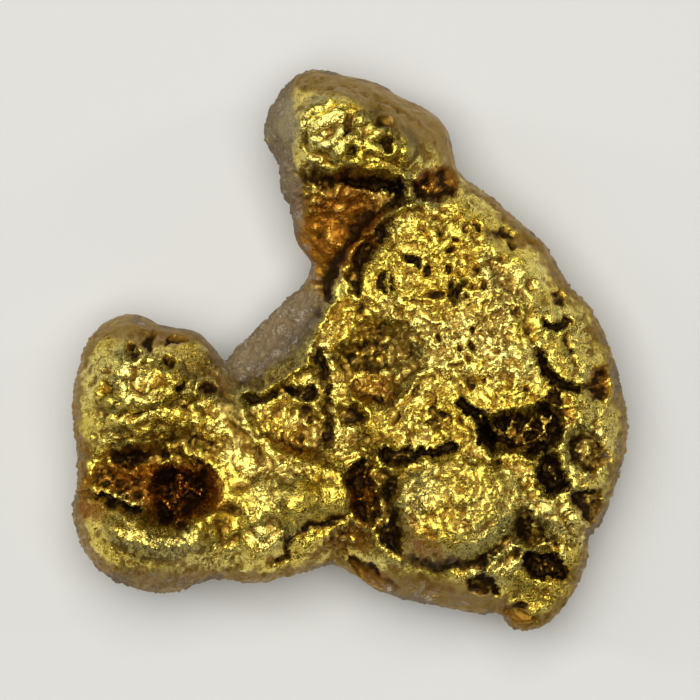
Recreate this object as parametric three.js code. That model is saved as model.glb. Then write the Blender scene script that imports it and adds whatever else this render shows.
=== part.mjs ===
// A natural gold nugget lying on its back, as one solid. Millimetres, +Z up.
// A square grid is trimmed to the nugget's outline and used twice: raised into the lumpy upper side,
// and lowered into an underside with three worn flats that it rests on. Both share the rim.
import * as THREE from 'three';

// Driving dimensions.
const RIM_HEIGHT = 3.0;        // the widest line of the body above the table
const TOP_RISE = 2.23;         // the upper side above the rim, before its bulges and hollows
const UNDER_DROP = 2.3;        // the underside below the rim, before its bulges
const TOP_EDGE_RADIUS = 1.5;   // how far in from the outline the upper side is rounded over
const UNDER_EDGE_RADIUS = 1.9; // and the underside
const CROWDED_WIDTH = 2.3;     // how far in from the outline the cells are crowded outwards
const CELL = 0.34;             // pitch of the grid
const GRID_CELLS = 62;         // cells along each side of the grid
const FITTING_ROUNDS = 14;     // rounds of evening out the cells beside the rim

// The outline seen from above, counter-clockwise from the top of the head.
const OUTLINE = [
  [-1.82, 9.86], [-2.43, 9.25], [-2.93, 8.43], [-3.04, 7.71], [-2.54, 6.64], [-2.46, 5.79],
  [-2.11, 5.07], [-1.89, 3.93], [-1.39, 3.07], [-1.68, 2.36], [-2.29, 1.82], [-3.14, 1.0],
  [-4.0, 0.14], [-4.46, -0.32], [-5.0, 0.29], [-5.61, 0.75], [-6.61, 0.89], [-7.57, 1.29],
  [-8.5, 1.14], [-9.29, 0.43], [-9.68, -0.64], [-9.89, -1.71], [-9.79, -2.86], [-9.71, -4.64],
  [-9.86, -5.79], [-9.46, -7.11], [-8.64, -8.0], [-7.5, -8.5], [-6.43, -8.61], [-4.82, -8.11],
  [-3.39, -8.25], [-1.61, -7.86], [-0.5, -7.64], [0.79, -8.43], [1.96, -8.86], [3.39, -9.14],
  [4.57, -9.36], [5.36, -9.36], [5.72, -9.8], [6.36, -9.96], [7.11, -9.64], [7.64, -9.07],
  [8.11, -8.32], [8.46, -7.43], [8.5, -6.64], [8.93, -6.11], [9.32, -5.14], [9.68, -4.14],
  [9.89, -3.14], [9.86, -2.21], [9.64, -1.14], [9.36, -0.18], [9.0, 0.79], [8.46, 1.71],
  [7.79, 2.36], [7.36, 3.14], [6.82, 3.93], [5.79, 4.86], [4.71, 5.75], [3.93, 6.36],
  [3.64, 7.21], [3.43, 7.96], [2.86, 8.5], [1.96, 9.0], [1.0, 9.5], [-0.07, 9.82],
  [-1.14, 10.04],
];

// Bulges and hollows of the upper side: centre, half-widths, turn in degrees, rise, and how square
// the shoulder is (2 is a soft mound, 4 and over a flat-floored hollow).
const TOP_FORMS = [
  { at: [4.3, -0.7], size: [5.35, 6.8], turn: 0, rise: 1, square: 2 },        // main dome
  { at: [3.65, -5.65], size: [2.2, 1.85], turn: 0, rise: 1.15, square: 3 },   // lower bulge
  { at: [-0.05, 7.8], size: [2.5, 1.65], turn: -14, rise: 1.5, square: 2.6 }, // head
  { at: [-7.15, -1.5], size: [2.65, 1.8], turn: 0, rise: 1.1, square: 2 },    // lobe, upper knuckle
  { at: [-6.95, -6.6], size: [2.7, 1.55], turn: 0, rise: 1.1, square: 2 },    // lobe, lower knuckle
  { at: [-2.15, -5.35], size: [2.65, 1.2], turn: 4, rise: 0.7, square: 2.4 }, // neck
  { at: [7.2, 2.65], size: [1.55, 4.2], turn: 32, rise: -0.7, square: 2 },    // right shoulder
  { at: [2.2, -8.4], size: [3.4, 0.85], turn: -10, rise: -1.1, square: 2 },   // lower rim
  { at: [6.95, -8.5], size: [1.65, 1.5], turn: 0, rise: -0.7, square: 2.4 },  // nub
  { at: [-2.85, 0.45], size: [2.85, 1.2], turn: 44, rise: -1.6, square: 2 },  // sloping bank
  { at: [-2.35, -2.65], size: [1.7, 1.2], turn: -20, rise: -0.6, square: 2.4 }, // gusset
  { at: [0.05, -6.95], size: [1.2, 1.3], turn: 0, rise: -0.9, square: 2 },    // saddle beside the neck
  { at: [-0.45, -2.85], size: [0.95, 2.15], turn: 0, rise: -0.5, square: 2 }, // fall beside the gusset
  { at: [1.0, -0.3], size: [1.55, 1.55], turn: 0, rise: -1, square: 2.4 },    // central hollow
  { at: [-1.15, -5.35], size: [1.45, 0.8], turn: -8, rise: 0.25, square: 3 }, // crest of the neck
  { at: [-4.35, -6.45], size: [0.65, 1.2], turn: 0, rise: -0.3, square: 2 },  // olive dip on the neck
  { at: [-7.15, -3.45], size: [2.2, 0.5], turn: -2, rise: -0.4, square: 2 },  // valley above the eye
  { at: [-0.3, 4.3], size: [1.5, 2.2], turn: -28, rise: -1.3, square: 3 },    // throat
  { at: [0.7, 6.05], size: [1.4, 0.5], turn: -4, rise: -0.4, square: 2 },     // crack under the head
  { at: [3.0, 5.9], size: [0.75, 0.55], turn: 0, rise: -0.8, square: 2 },     // cavity right of the throat
  { at: [-7.1, -4.85], size: [2.3, 1.15], turn: 6, rise: -0.95, square: 3 },  // eye-shaped cavity
  { at: [-6.05, -5.05], size: [0.95, 0.85], turn: 0, rise: -1.1, square: 2 }, // bottom of the eye
  { at: [6.1, -2.9], size: [1.25, 0.65], turn: 0, rise: -1.1, square: 2 },    // long cavity
  { at: [4.6, -2.6], size: [0.5, 0.9], turn: 25, rise: -0.8, square: 2 },     // arm of the long cavity
  { at: [7.15, -4.4], size: [0.5, 0.65], turn: 0, rise: -0.8, square: 2 },    // deep pit
  { at: [8.45, -3.6], size: [0.65, 0.75], turn: 0, rise: -0.5, square: 2 },   // pit with nodules
  { at: [8.85, -1.15], size: [0.5, 0.65], turn: 0, rise: -0.6, square: 2 },   // pit at the edge
  { at: [8.5, -5.5], size: [0.5, 0.65], turn: 0, rise: -0.8, square: 2 },     // notch at the right edge
  { at: [7.35, 1.35], size: [0.5, 0.6], turn: 0, rise: -0.4, square: 2 },     // three-lobed pit
  { at: [7.2, -0.8], size: [0.5, 0.9], turn: 30, rise: -0.6, square: 2 },     // J-shaped crack
  { at: [2.35, -3.65], size: [1.3, 0.5], turn: 8, rise: -0.45, square: 2 },   // horizontal slit
  { at: [0.5, -5.0], size: [0.5, 1.05], turn: 0, rise: -0.8, square: 2 },     // cavity beside the neck
  { at: [1.45, -5.7], size: [0.5, 1.5], turn: 0, rise: -0.7, square: 2 },     // valley left of the bulge
  { at: [6.7, -6.4], size: [0.75, 0.6], turn: -40, rise: -0.6, square: 2 },   // valley on the nub
  { at: [6.95, -7.6], size: [0.75, 0.5], turn: 0, rise: -0.8, square: 2 },    // cavity on the nub
  { at: [0.9, -8.0], size: [0.8, 0.5], turn: -40, rise: -0.6, square: 2 },    // pocket under the neck
  { at: [-1.0, -1.6], size: [0.5, 1.7], turn: -5, rise: -0.4, square: 2 },    // gap beside the gusset
  { at: [-1.8, -1.5], size: [0.6, 0.5], turn: 0, rise: -0.45, square: 2 },    // gusset pocket
];

// Where the upper side is rounded over more widely, by so many millimetres.
const WIDER_EDGES = [
  { at: [2.5, 7.85], size: [2.15, 1.8], turn: -30, rise: 1.2, square: 2 },    // right of the head
  { at: [7.5, 3.2], size: [1.8, 3.2], turn: 30, rise: 0.5, square: 2 },       // right shoulder
  { at: [9.3, -2.5], size: [1.45, 4.3], turn: 0, rise: 0.4, square: 2 },      // right side
  { at: [2.5, -8.95], size: [3.95, 1.05], turn: 0, rise: 0.9, square: 2 },    // lower side
  { at: [-7.15, -8.55], size: [3.2, 0.9], turn: 0, rise: 0.4, square: 2 },    // under the lobe
  { at: [-2.8, 0.65], size: [2.5, 1.45], turn: 44, rise: 0.8, square: 3 },    // sloping bank
];

// Bulges of the underside, whose tips are worn off flat where the nugget rests.
const UNDER_FORMS = [
  { at: [-6.9, -4.6], size: [2.6, 2.9], turn: 0, rise: 1.25, square: 2.6 },
  { at: [0.1, 7.5], size: [2.6, 2.0], turn: -15, rise: 1.35, square: 2.6 },
  { at: [5.6, -4.3], size: [3.0, 3.2], turn: 0, rise: 1.25, square: 2.6 },
  { at: [-0.6, -2.4], size: [2.6, 3.4], turn: 0, rise: -0.9, square: 2 },
  { at: [3.0, 2.4], size: [3.0, 2.2], turn: -35, rise: -0.5, square: 2 },
];

/** The closed smooth outline as a list of points a short way apart. */
function outlinePoints() {
  const corners = OUTLINE.map(([x, y]) => new THREE.Vector3(x, y, 0));
  const curve = new THREE.CatmullRomCurve3(corners, true, 'centripetal');
  return curve.getPoints(OUTLINE.length * 8);
}

/** The point of the outline that lies nearest to the one given. */
function nearestOnOutline(point, outline) {
  const line = new THREE.Line3();
  const candidate = new THREE.Vector3();
  const nearest = new THREE.Vector3();
  let least = Infinity;
  for (let i = 1; i < outline.length; i += 1) {
    line.set(outline[i - 1], outline[i]);
    line.closestPointToPoint(point, true, candidate);
    const gap = candidate.distanceToSquared(point);
    if (gap < least) {
      least = gap;
      nearest.copy(candidate);
    }
  }
  return nearest;
}

/** Whether a point lies inside the outline: an odd number of its sides cross the ray to +X. */
function isInside(point, outline) {
  let inside = false;
  for (let i = 1; i < outline.length; i += 1) {
    const a = outline[i - 1];
    const b = outline[i];
    const straddles = a.y > point.y !== b.y > point.y;
    if (straddles && point.x < a.x + ((point.y - a.y) * (b.x - a.x)) / (b.y - a.y)) inside = !inside;
  }
  return inside;
}

/** The grid cells whose middles lie inside the outline, each as its four corner numbers. */
function cellsInside(plane, outline) {
  const row = GRID_CELLS + 1;
  const places = plane.getAttribute('position');
  const middle = new THREE.Vector3();
  const cells = [];
  for (let j = 0; j < GRID_CELLS; j += 1) {
    for (let i = 0; i < GRID_CELLS; i += 1) {
      const corner = i + row * j;
      const cell = [corner, corner + row, corner + row + 1, corner + 1];
      middle.fromBufferAttribute(places, corner);
      middle.add(new THREE.Vector3(CELL / 2, -CELL / 2, 0));
      if (isInside(middle, outline)) cells.push(cell);
    }
  }
  return cells;
}

/** Each grid point's neighbours: the two along the rim for a rim point, all four for any other. */
function neighboursOf(cells) {
  const sides = new Map();
  for (const cell of cells) {
    cell.forEach((from, k) => {
      const to = cell[(k + 1) % 4];
      const key = from < to ? `${from} ${to}` : `${to} ${from}`;
      sides.set(key, (sides.get(key) ?? 0) + 1);
    });
  }
  const onRim = new Set();
  for (const [key, uses] of sides) {
    if (uses === 1) key.split(' ').forEach((end) => onRim.add(Number(end)));
  }
  const neighbours = new Map();
  for (const [key, uses] of sides) {
    const [a, b] = key.split(' ').map(Number);
    for (const [here, there] of [[a, b], [b, a]]) {
      if (!neighbours.has(here)) neighbours.set(here, []);
      if (!onRim.has(here) || uses === 1) neighbours.get(here).push(there);
    }
  }
  return { onRim, neighbours };
}

/** Draws the stepped edge of the grid on to the outline, and evens out the cells beside it. */
function fitToOutline(points, onRim, neighbours, outline) {
  for (let round = 0; round < FITTING_ROUNDS; round += 1) {
    const moved = new Map();
    for (const [here, around] of neighbours) {
      const mean = new THREE.Vector3();
      around.forEach((there) => mean.add(points[there]));
      mean.divideScalar(around.length);
      if (onRim.has(here)) moved.set(here, nearestOnOutline(mean.lerp(points[here], 0.5), outline));
      else moved.set(here, mean);
    }
    moved.forEach((place, here) => points[here].copy(place));
  }
}

/** Crowds the cells near the rim towards it, where the surface turns down, and tells how far in. */
function crowdToRim(point, outline) {
  const edge = nearestOnOutline(point, outline);
  const inward = point.distanceTo(edge);
  const share = Math.min(inward / CROWDED_WIDTH, 1);
  const kept = inward > CROWDED_WIDTH ? 1 : share * (2 - share);
  return { place: edge.lerp(point, kept), inward: inward * kept };
}

/** The height that a list of mounds and hollows adds at a point. */
function formsHeight(forms, x, y) {
  let height = 0;
  for (const { at, size, turn, rise, square } of forms) {
    const angle = THREE.MathUtils.degToRad(turn);
    const dx = x - at[0];
    const dy = y - at[1];
    const across = (dx * Math.cos(angle) + dy * Math.sin(angle)) / size[0];
    const along = (dy * Math.cos(angle) - dx * Math.sin(angle)) / size[1];
    height += rise * Math.exp(-(Math.hypot(across, along) ** square));
  }
  return height;
}

/** A few low waves that keep the surface from looking turned on a lathe. */
function waves(x, y) {
  const broad = Math.sin(0.9 * x + 0.7 * y) * Math.cos(0.8 * y - 0.5 * x + 1.0);
  const fine = Math.sin(2.3 * x - 1.1 * y + 2.0) * Math.sin(1.9 * y + 1.3 * x);
  return 0.1 * broad + 0.06 * fine;
}

/** A quarter of an ellipse: 0 on the outline, 1 from one edge radius inwards. */
function edgeRound(distance, radius) {
  return Math.sqrt(1 - (1 - Math.min(distance / radius, 1)) ** 2);
}

/** The height of the upper side at a point that lies a given way in from the outline. */
function topHeight(place, inward) {
  const rise = TOP_RISE + formsHeight(TOP_FORMS, place.x, place.y) + waves(place.x, place.y);
  const radius = TOP_EDGE_RADIUS + formsHeight(WIDER_EDGES, place.x, place.y);
  return RIM_HEIGHT + rise * edgeRound(inward, radius);
}

/** The height of the underside there, with what would reach below the table worn off flat. */
function underHeight(place, inward) {
  const drop = UNDER_DROP + formsHeight(UNDER_FORMS, place.x, place.y) + waves(place.y, place.x);
  return Math.max(RIM_HEIGHT - drop * edgeRound(inward, UNDER_EDGE_RADIUS), 0);
}

/** The two triangles of a cell, split so that no diagonal joins two points of the rim. */
function cellTriangles([a, b, c, d], onRim) {
  if (onRim.has(a) && onRim.has(c)) return [[a, b, d], [b, c, d]];
  return [[a, b, c], [a, c, d]];
}

/** The nugget as one closed surface whose box is centred over the origin. */
function nuggetGeometry() {
  const outline = outlinePoints();
  const plane = new THREE.PlaneGeometry(GRID_CELLS * CELL, GRID_CELLS * CELL, GRID_CELLS, GRID_CELLS);
  const cells = cellsInside(plane, outline);
  const { onRim, neighbours } = neighboursOf(cells);
  const gridPlaces = plane.getAttribute('position');
  const points = [];
  for (let i = 0; i < gridPlaces.count; i += 1) {
    points.push(new THREE.Vector3().fromBufferAttribute(gridPlaces, i));
  }
  fitToOutline(points, onRim, neighbours, outline);

  const vertices = [];
  const topVertex = new Map();
  const underVertex = new Map();
  for (const here of neighbours.keys()) {
    const { place, inward } = crowdToRim(points[here], outline);
    topVertex.set(here, vertices.length);
    vertices.push([place.x, place.y, onRim.has(here) ? RIM_HEIGHT : topHeight(place, inward)]);
    underVertex.set(here, onRim.has(here) ? topVertex.get(here) : vertices.length);
    if (!onRim.has(here)) vertices.push([place.x, place.y, underHeight(place, inward)]);
  }
  const index = [];
  for (const cell of cells) {
    for (const triangle of cellTriangles(cell, onRim)) {
      index.push(...triangle.map((corner) => topVertex.get(corner)));
      index.push(...triangle.map((corner) => underVertex.get(corner)).reverse());
    }
  }
  const body = new THREE.BufferGeometry();
  body.setAttribute('position', new THREE.Float32BufferAttribute(vertices.flat(), 3));
  body.setIndex(index);
  body.computeBoundingBox();
  const middle = body.boundingBox.getCenter(new THREE.Vector3());
  body.translate(-middle.x, -middle.y, -body.boundingBox.min.z);
  body.computeVertexNormals();
  return body;
}

const gold = new THREE.MeshStandardMaterial({ color: 0xd9a832, roughness: 0.28, metalness: 1.0 });
const nugget = new THREE.Mesh(nuggetGeometry(), gold);
nugget.name = 'nugget';

const group = new THREE.Group();
group.name = 'gold_nugget';
group.add(nugget);

export default group;
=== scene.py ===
"""A natural gold nugget lying on its back, dressed for a soft studio picture.

A square grid is trimmed to the nugget's outline and used twice: raised into the lumpy upper side,
and lowered into an underside with worn flats. The bulges and hollows come first, then creases and
pits, and last the skins of crinkled, knobbly and worn gold, all as heights worked out with numpy.
"""

import logging
import math
from dataclasses import dataclass, field
from enum import Enum

import bpy
import numpy as np
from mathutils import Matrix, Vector


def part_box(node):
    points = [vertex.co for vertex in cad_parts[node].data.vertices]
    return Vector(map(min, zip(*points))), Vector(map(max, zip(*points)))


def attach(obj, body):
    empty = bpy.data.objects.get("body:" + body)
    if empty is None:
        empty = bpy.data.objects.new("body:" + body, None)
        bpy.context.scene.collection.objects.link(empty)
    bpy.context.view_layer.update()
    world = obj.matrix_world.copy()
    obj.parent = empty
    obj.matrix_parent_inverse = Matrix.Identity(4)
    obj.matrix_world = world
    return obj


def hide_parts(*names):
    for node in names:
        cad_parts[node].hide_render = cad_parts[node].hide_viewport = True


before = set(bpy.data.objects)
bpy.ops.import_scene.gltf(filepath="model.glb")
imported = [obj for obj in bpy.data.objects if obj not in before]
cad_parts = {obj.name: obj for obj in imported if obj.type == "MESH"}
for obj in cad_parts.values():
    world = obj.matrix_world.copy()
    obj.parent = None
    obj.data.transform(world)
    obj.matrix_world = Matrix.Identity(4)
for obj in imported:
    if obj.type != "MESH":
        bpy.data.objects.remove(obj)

LOG = logging.getLogger("nugget")
MM = 0.001
Array = np.ndarray


# ---------------------------------------------------------------- noise

def hashed(ix: Array, iy: Array, iz: Array, seed: int) -> Array:
    """Scrambles whole-number cell coordinates into evenly spread 32-bit numbers.

    Each coordinate is multiplied by its own large prime, the products are combined bit by bit,
    and the result is folded and multiplied again.

    Args:
        ix: First coordinates, whole numbers.
        iy: Second coordinates.
        iz: Third coordinates.
        seed: Chooses one of many scramblings.

    Returns:
        One unsigned 32-bit number for each cell.
    """
    mixed = ix.astype(np.uint32) * np.uint32(73856093)
    mixed = mixed ^ (iy.astype(np.uint32) * np.uint32(19349663))
    mixed = mixed ^ (iz.astype(np.uint32) * np.uint32(83492791))
    mixed = mixed ^ np.uint32((seed * 2654435761) % 2**32)
    mixed = (mixed ^ (mixed >> np.uint32(15))) * np.uint32(2246822519)
    mixed = (mixed ^ (mixed >> np.uint32(13))) * np.uint32(3266489917)
    return mixed ^ (mixed >> np.uint32(16))


def smooth_noise(points: Array, seed: int) -> Array:
    """Gradient noise: the blend of eight lattice corners' slopes with quintic weights.

    Args:
        points: Places in lattice units, one row of three for each.
        seed: Chooses the lattice's slopes.

    Returns:
        Values of about -1 to 1, zero on the lattice points.
    """
    cell = np.floor(points)
    inside = points - cell
    cell = cell.astype(np.int64)
    weight = inside**3 * (inside * (inside * 6 - 15) + 10)
    total = np.zeros(len(points))
    for corner in np.ndindex(2, 2, 2):
        key = hashed(cell[:, 0] + corner[0], cell[:, 1] + corner[1], cell[:, 2] + corner[2], seed)
        lift = (key & np.uint32(1023)) / 511.5 - 1.0
        turn = (key >> np.uint32(10) & np.uint32(4095)) / 4096 * math.tau
        flat = np.sqrt(1 - lift**2)
        slope = np.stack([flat * np.cos(turn), flat * np.sin(turn), lift], axis=1)
        share = np.prod(np.where(corner, weight, 1 - weight), axis=1)
        total += share * np.sum(slope * (inside - corner), axis=1)
    return total * 1.6


def cell_noise(points: Array, seed: int) -> tuple[Array, Array, Array]:
    """Cellular noise: the distances to the two nearest of the points scattered one to a cell.

    Args:
        points: Places in cell units, one row of three for each.
        seed: Chooses the scattered points.

    Returns:
        The nearest distance, the second nearest, and a number from 0 to 1 for the nearest point.
    """
    cell = np.floor(points).astype(np.int64)
    first = np.full(len(points), 9.0)
    second = np.full(len(points), 9.0)
    name = np.zeros(len(points))
    for step in np.ndindex(3, 3, 3):
        near = cell + np.array(step) - 1
        key = hashed(near[:, 0], near[:, 1], near[:, 2], seed)
        jitter = np.stack([key & np.uint32(1023), key >> np.uint32(10) & np.uint32(1023),
                           key >> np.uint32(20) & np.uint32(1023)], axis=1) / 1024
        gap = np.linalg.norm(near + jitter - points, axis=1)
        closer = gap < first
        second = np.where(closer, first, np.minimum(second, gap))
        name = np.where(closer, (key % np.uint32(9973)) / 9973, name)
        first = np.where(closer, gap, first)
    return first, second, name


def layered(points: Array, seed: int, layers: int) -> Array:
    """Several smooth noises added, each half as wide and half as high as the one before."""
    return sum(0.5**k * smooth_noise(points * 2.0**k, seed + k) for k in range(layers))


def warped(points: Array, amount: float, seed: int) -> Array:
    """Pushes each place about by smooth noise of its own, to break up any regular pattern."""
    push = [smooth_noise(points * 0.6, seed + k) for k in range(3)]
    return points + amount * np.stack(push, axis=1)


def ease(values: Array, low: float, high: float) -> Array:
    """0 below the low value, 1 above the high one, and a smooth S between them."""
    share = np.clip((values - low) / (high - low), 0, 1)
    return share * share * (3 - 2 * share)


# ---------------------------------------------------------------- plan of the nugget

@dataclass(frozen=True)
class Outline:
    """The nugget's outline seen from above, in millimetres, counter-clockwise from the head."""

    corners: tuple[tuple[float, float], ...] = (
        (-1.82, 9.86), (-2.43, 9.25), (-2.93, 8.43), (-3.04, 7.71), (-2.54, 6.64), (-2.46, 5.79),
        (-2.11, 5.07), (-1.89, 3.93), (-1.39, 3.07), (-1.68, 2.36), (-2.29, 1.82), (-3.14, 1.0),
        (-4.0, 0.14), (-4.46, -0.32), (-5.0, 0.29), (-5.61, 0.75), (-6.61, 0.89), (-7.57, 1.29),
        (-8.5, 1.14), (-9.29, 0.43), (-9.68, -0.64), (-9.89, -1.71), (-9.79, -2.86), (-9.71, -4.64),
        (-9.86, -5.79), (-9.46, -7.11), (-8.64, -8.0), (-7.5, -8.5), (-6.43, -8.61), (-4.82, -8.11),
        (-3.39, -8.25), (-1.61, -7.86), (-0.5, -7.64), (0.79, -8.43), (1.96, -8.86), (3.39, -9.14),
        (4.57, -9.36), (5.36, -9.36), (5.72, -9.8), (6.36, -9.96), (7.11, -9.64), (7.64, -9.07),
        (8.11, -8.32), (8.46, -7.43), (8.5, -6.64), (8.93, -6.11), (9.32, -5.14), (9.68, -4.14),
        (9.89, -3.14), (9.86, -2.21), (9.64, -1.14), (9.36, -0.18), (9.0, 0.79), (8.46, 1.71),
        (7.79, 2.36), (7.36, 3.14), (6.82, 3.93), (5.79, 4.86), (4.71, 5.75), (3.93, 6.36),
        (3.64, 7.21), (3.43, 7.96), (2.86, 8.5), (1.96, 9.0), (1.0, 9.5), (-0.07, 9.82),
        (-1.14, 10.04),
    )
    steps: int = 8

    def loop(self) -> Array:
        """The closed smooth line through the corners.

        A centripetal Catmull-Rom curve: each stretch is a cubic whose end slopes come from the
        corners on either side, weighted by the square roots of the distances between them.

        Returns:
            Points along the line, one row of x and y for each, without the first repeated.
        """
        p1 = np.array(self.corners)
        p0, p2, p3 = (np.roll(p1, shift, axis=0) for shift in (1, -1, -2))
        t0, t1, t2 = (np.sqrt(np.linalg.norm(b - a, axis=1))[:, None]
                      for a, b in ((p0, p1), (p1, p2), (p2, p3)))
        leave = ((p1 - p0) / t0 - (p2 - p0) / (t0 + t1) + (p2 - p1) / t1) * t1
        arrive = ((p2 - p1) / t1 - (p3 - p1) / (t1 + t2) + (p3 - p2) / t2) * t1
        t = (np.arange(self.steps) / self.steps)[None, :, None]
        a, b, c, d = (v[:, None, :] for v in (p1, p2, leave, arrive))
        curve = (2 * t**3 - 3 * t**2 + 1) * a + (3 * t**2 - 2 * t**3) * b
        curve = curve + (t**3 - 2 * t**2 + t) * c + (t**3 - t**2) * d
        return curve.reshape(-1, 2)

    def nearest(self, points: Array) -> tuple[Array, Array]:
        """The nearest place on the outline to each point.

        Every point is dropped on to every straight piece of the line, and the closest foot kept.

        Args:
            points: Places in plan, one row of x and y for each.

        Returns:
            The nearest places, and the distances to them.
        """
        start = self.loop()
        step = np.roll(start, -1, axis=0) - start
        square = np.sum(step**2, axis=1)
        feet = []
        for part in np.array_split(points, max(1, len(points) // 4000)):
            gap = part[:, None, :] - start[None]
            share = np.clip(np.sum(gap * step, axis=2) / square, 0, 1)
            off = np.sum((gap - share[..., None] * step) ** 2, axis=2)
            best = np.argmin(off, axis=1)
            row = np.arange(len(part))
            feet.append(start[best] + share[row, best][:, None] * step[best])
        found = np.concatenate(feet)
        return found, np.linalg.norm(points - found, axis=1)

    def contains(self, points: Array) -> Array:
        """Whether each point lies inside: an odd number of sides cross its ray to +X.

        Args:
            points: Places in plan, one row of x and y for each.

        Returns:
            True for each point inside.
        """
        start = self.loop()
        end = np.roll(start, -1, axis=0)
        slope = (end[:, 0] - start[:, 0]) / (end[:, 1] - start[:, 1] + 1e-12)
        found = []
        for part in np.array_split(points, max(1, len(points) // 4000)):
            y = part[:, 1:2]
            straddles = (start[:, 1] > y) != (end[:, 1] > y)
            right = part[:, 0:1] < start[:, 0] + (y - start[:, 1]) * slope
            found.append(np.sum(straddles & right, axis=1) % 2 == 1)
        return np.concatenate(found)


@dataclass(frozen=True)
class Sheet:
    """The trimmed grid in plan: places, distances in from the rim, cells and rim flags."""

    places: Array
    inward: Array
    cells: Array
    on_rim: Array
    coarse: Array
    coarse_used: Array
    single: Array
    spots: Array
    shape: tuple[int, int]

    def blurred(self, heights: Array, width: float) -> Array:
        """The heights averaged with those around them under a bell-shaped weight.

        The heights are laid out on the grid and multiplied by the bell's own spectrum; the same
        done to a grid of ones gives the total weight, which leaves out the empty places.

        Args:
            heights: One height for each point of the sheet.
            width: The bell's width in cells.

        Returns:
            The averaged heights.
        """
        fx = np.fft.fftfreq(self.shape[0])[:, None]
        fy = np.fft.rfftfreq(self.shape[1])[None]
        bell = np.exp(-2 * (math.pi * width) ** 2 * (fx**2 + fy**2))
        sums = []
        for values in (heights, np.ones(len(heights))):
            laid = np.zeros(self.shape)
            laid.ravel()[self.spots] = values
            sums.append(np.fft.irfft2(np.fft.rfft2(laid) * bell, self.shape).ravel()[self.spots])
        return sums[0] / np.maximum(sums[1], 1e-6)


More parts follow.
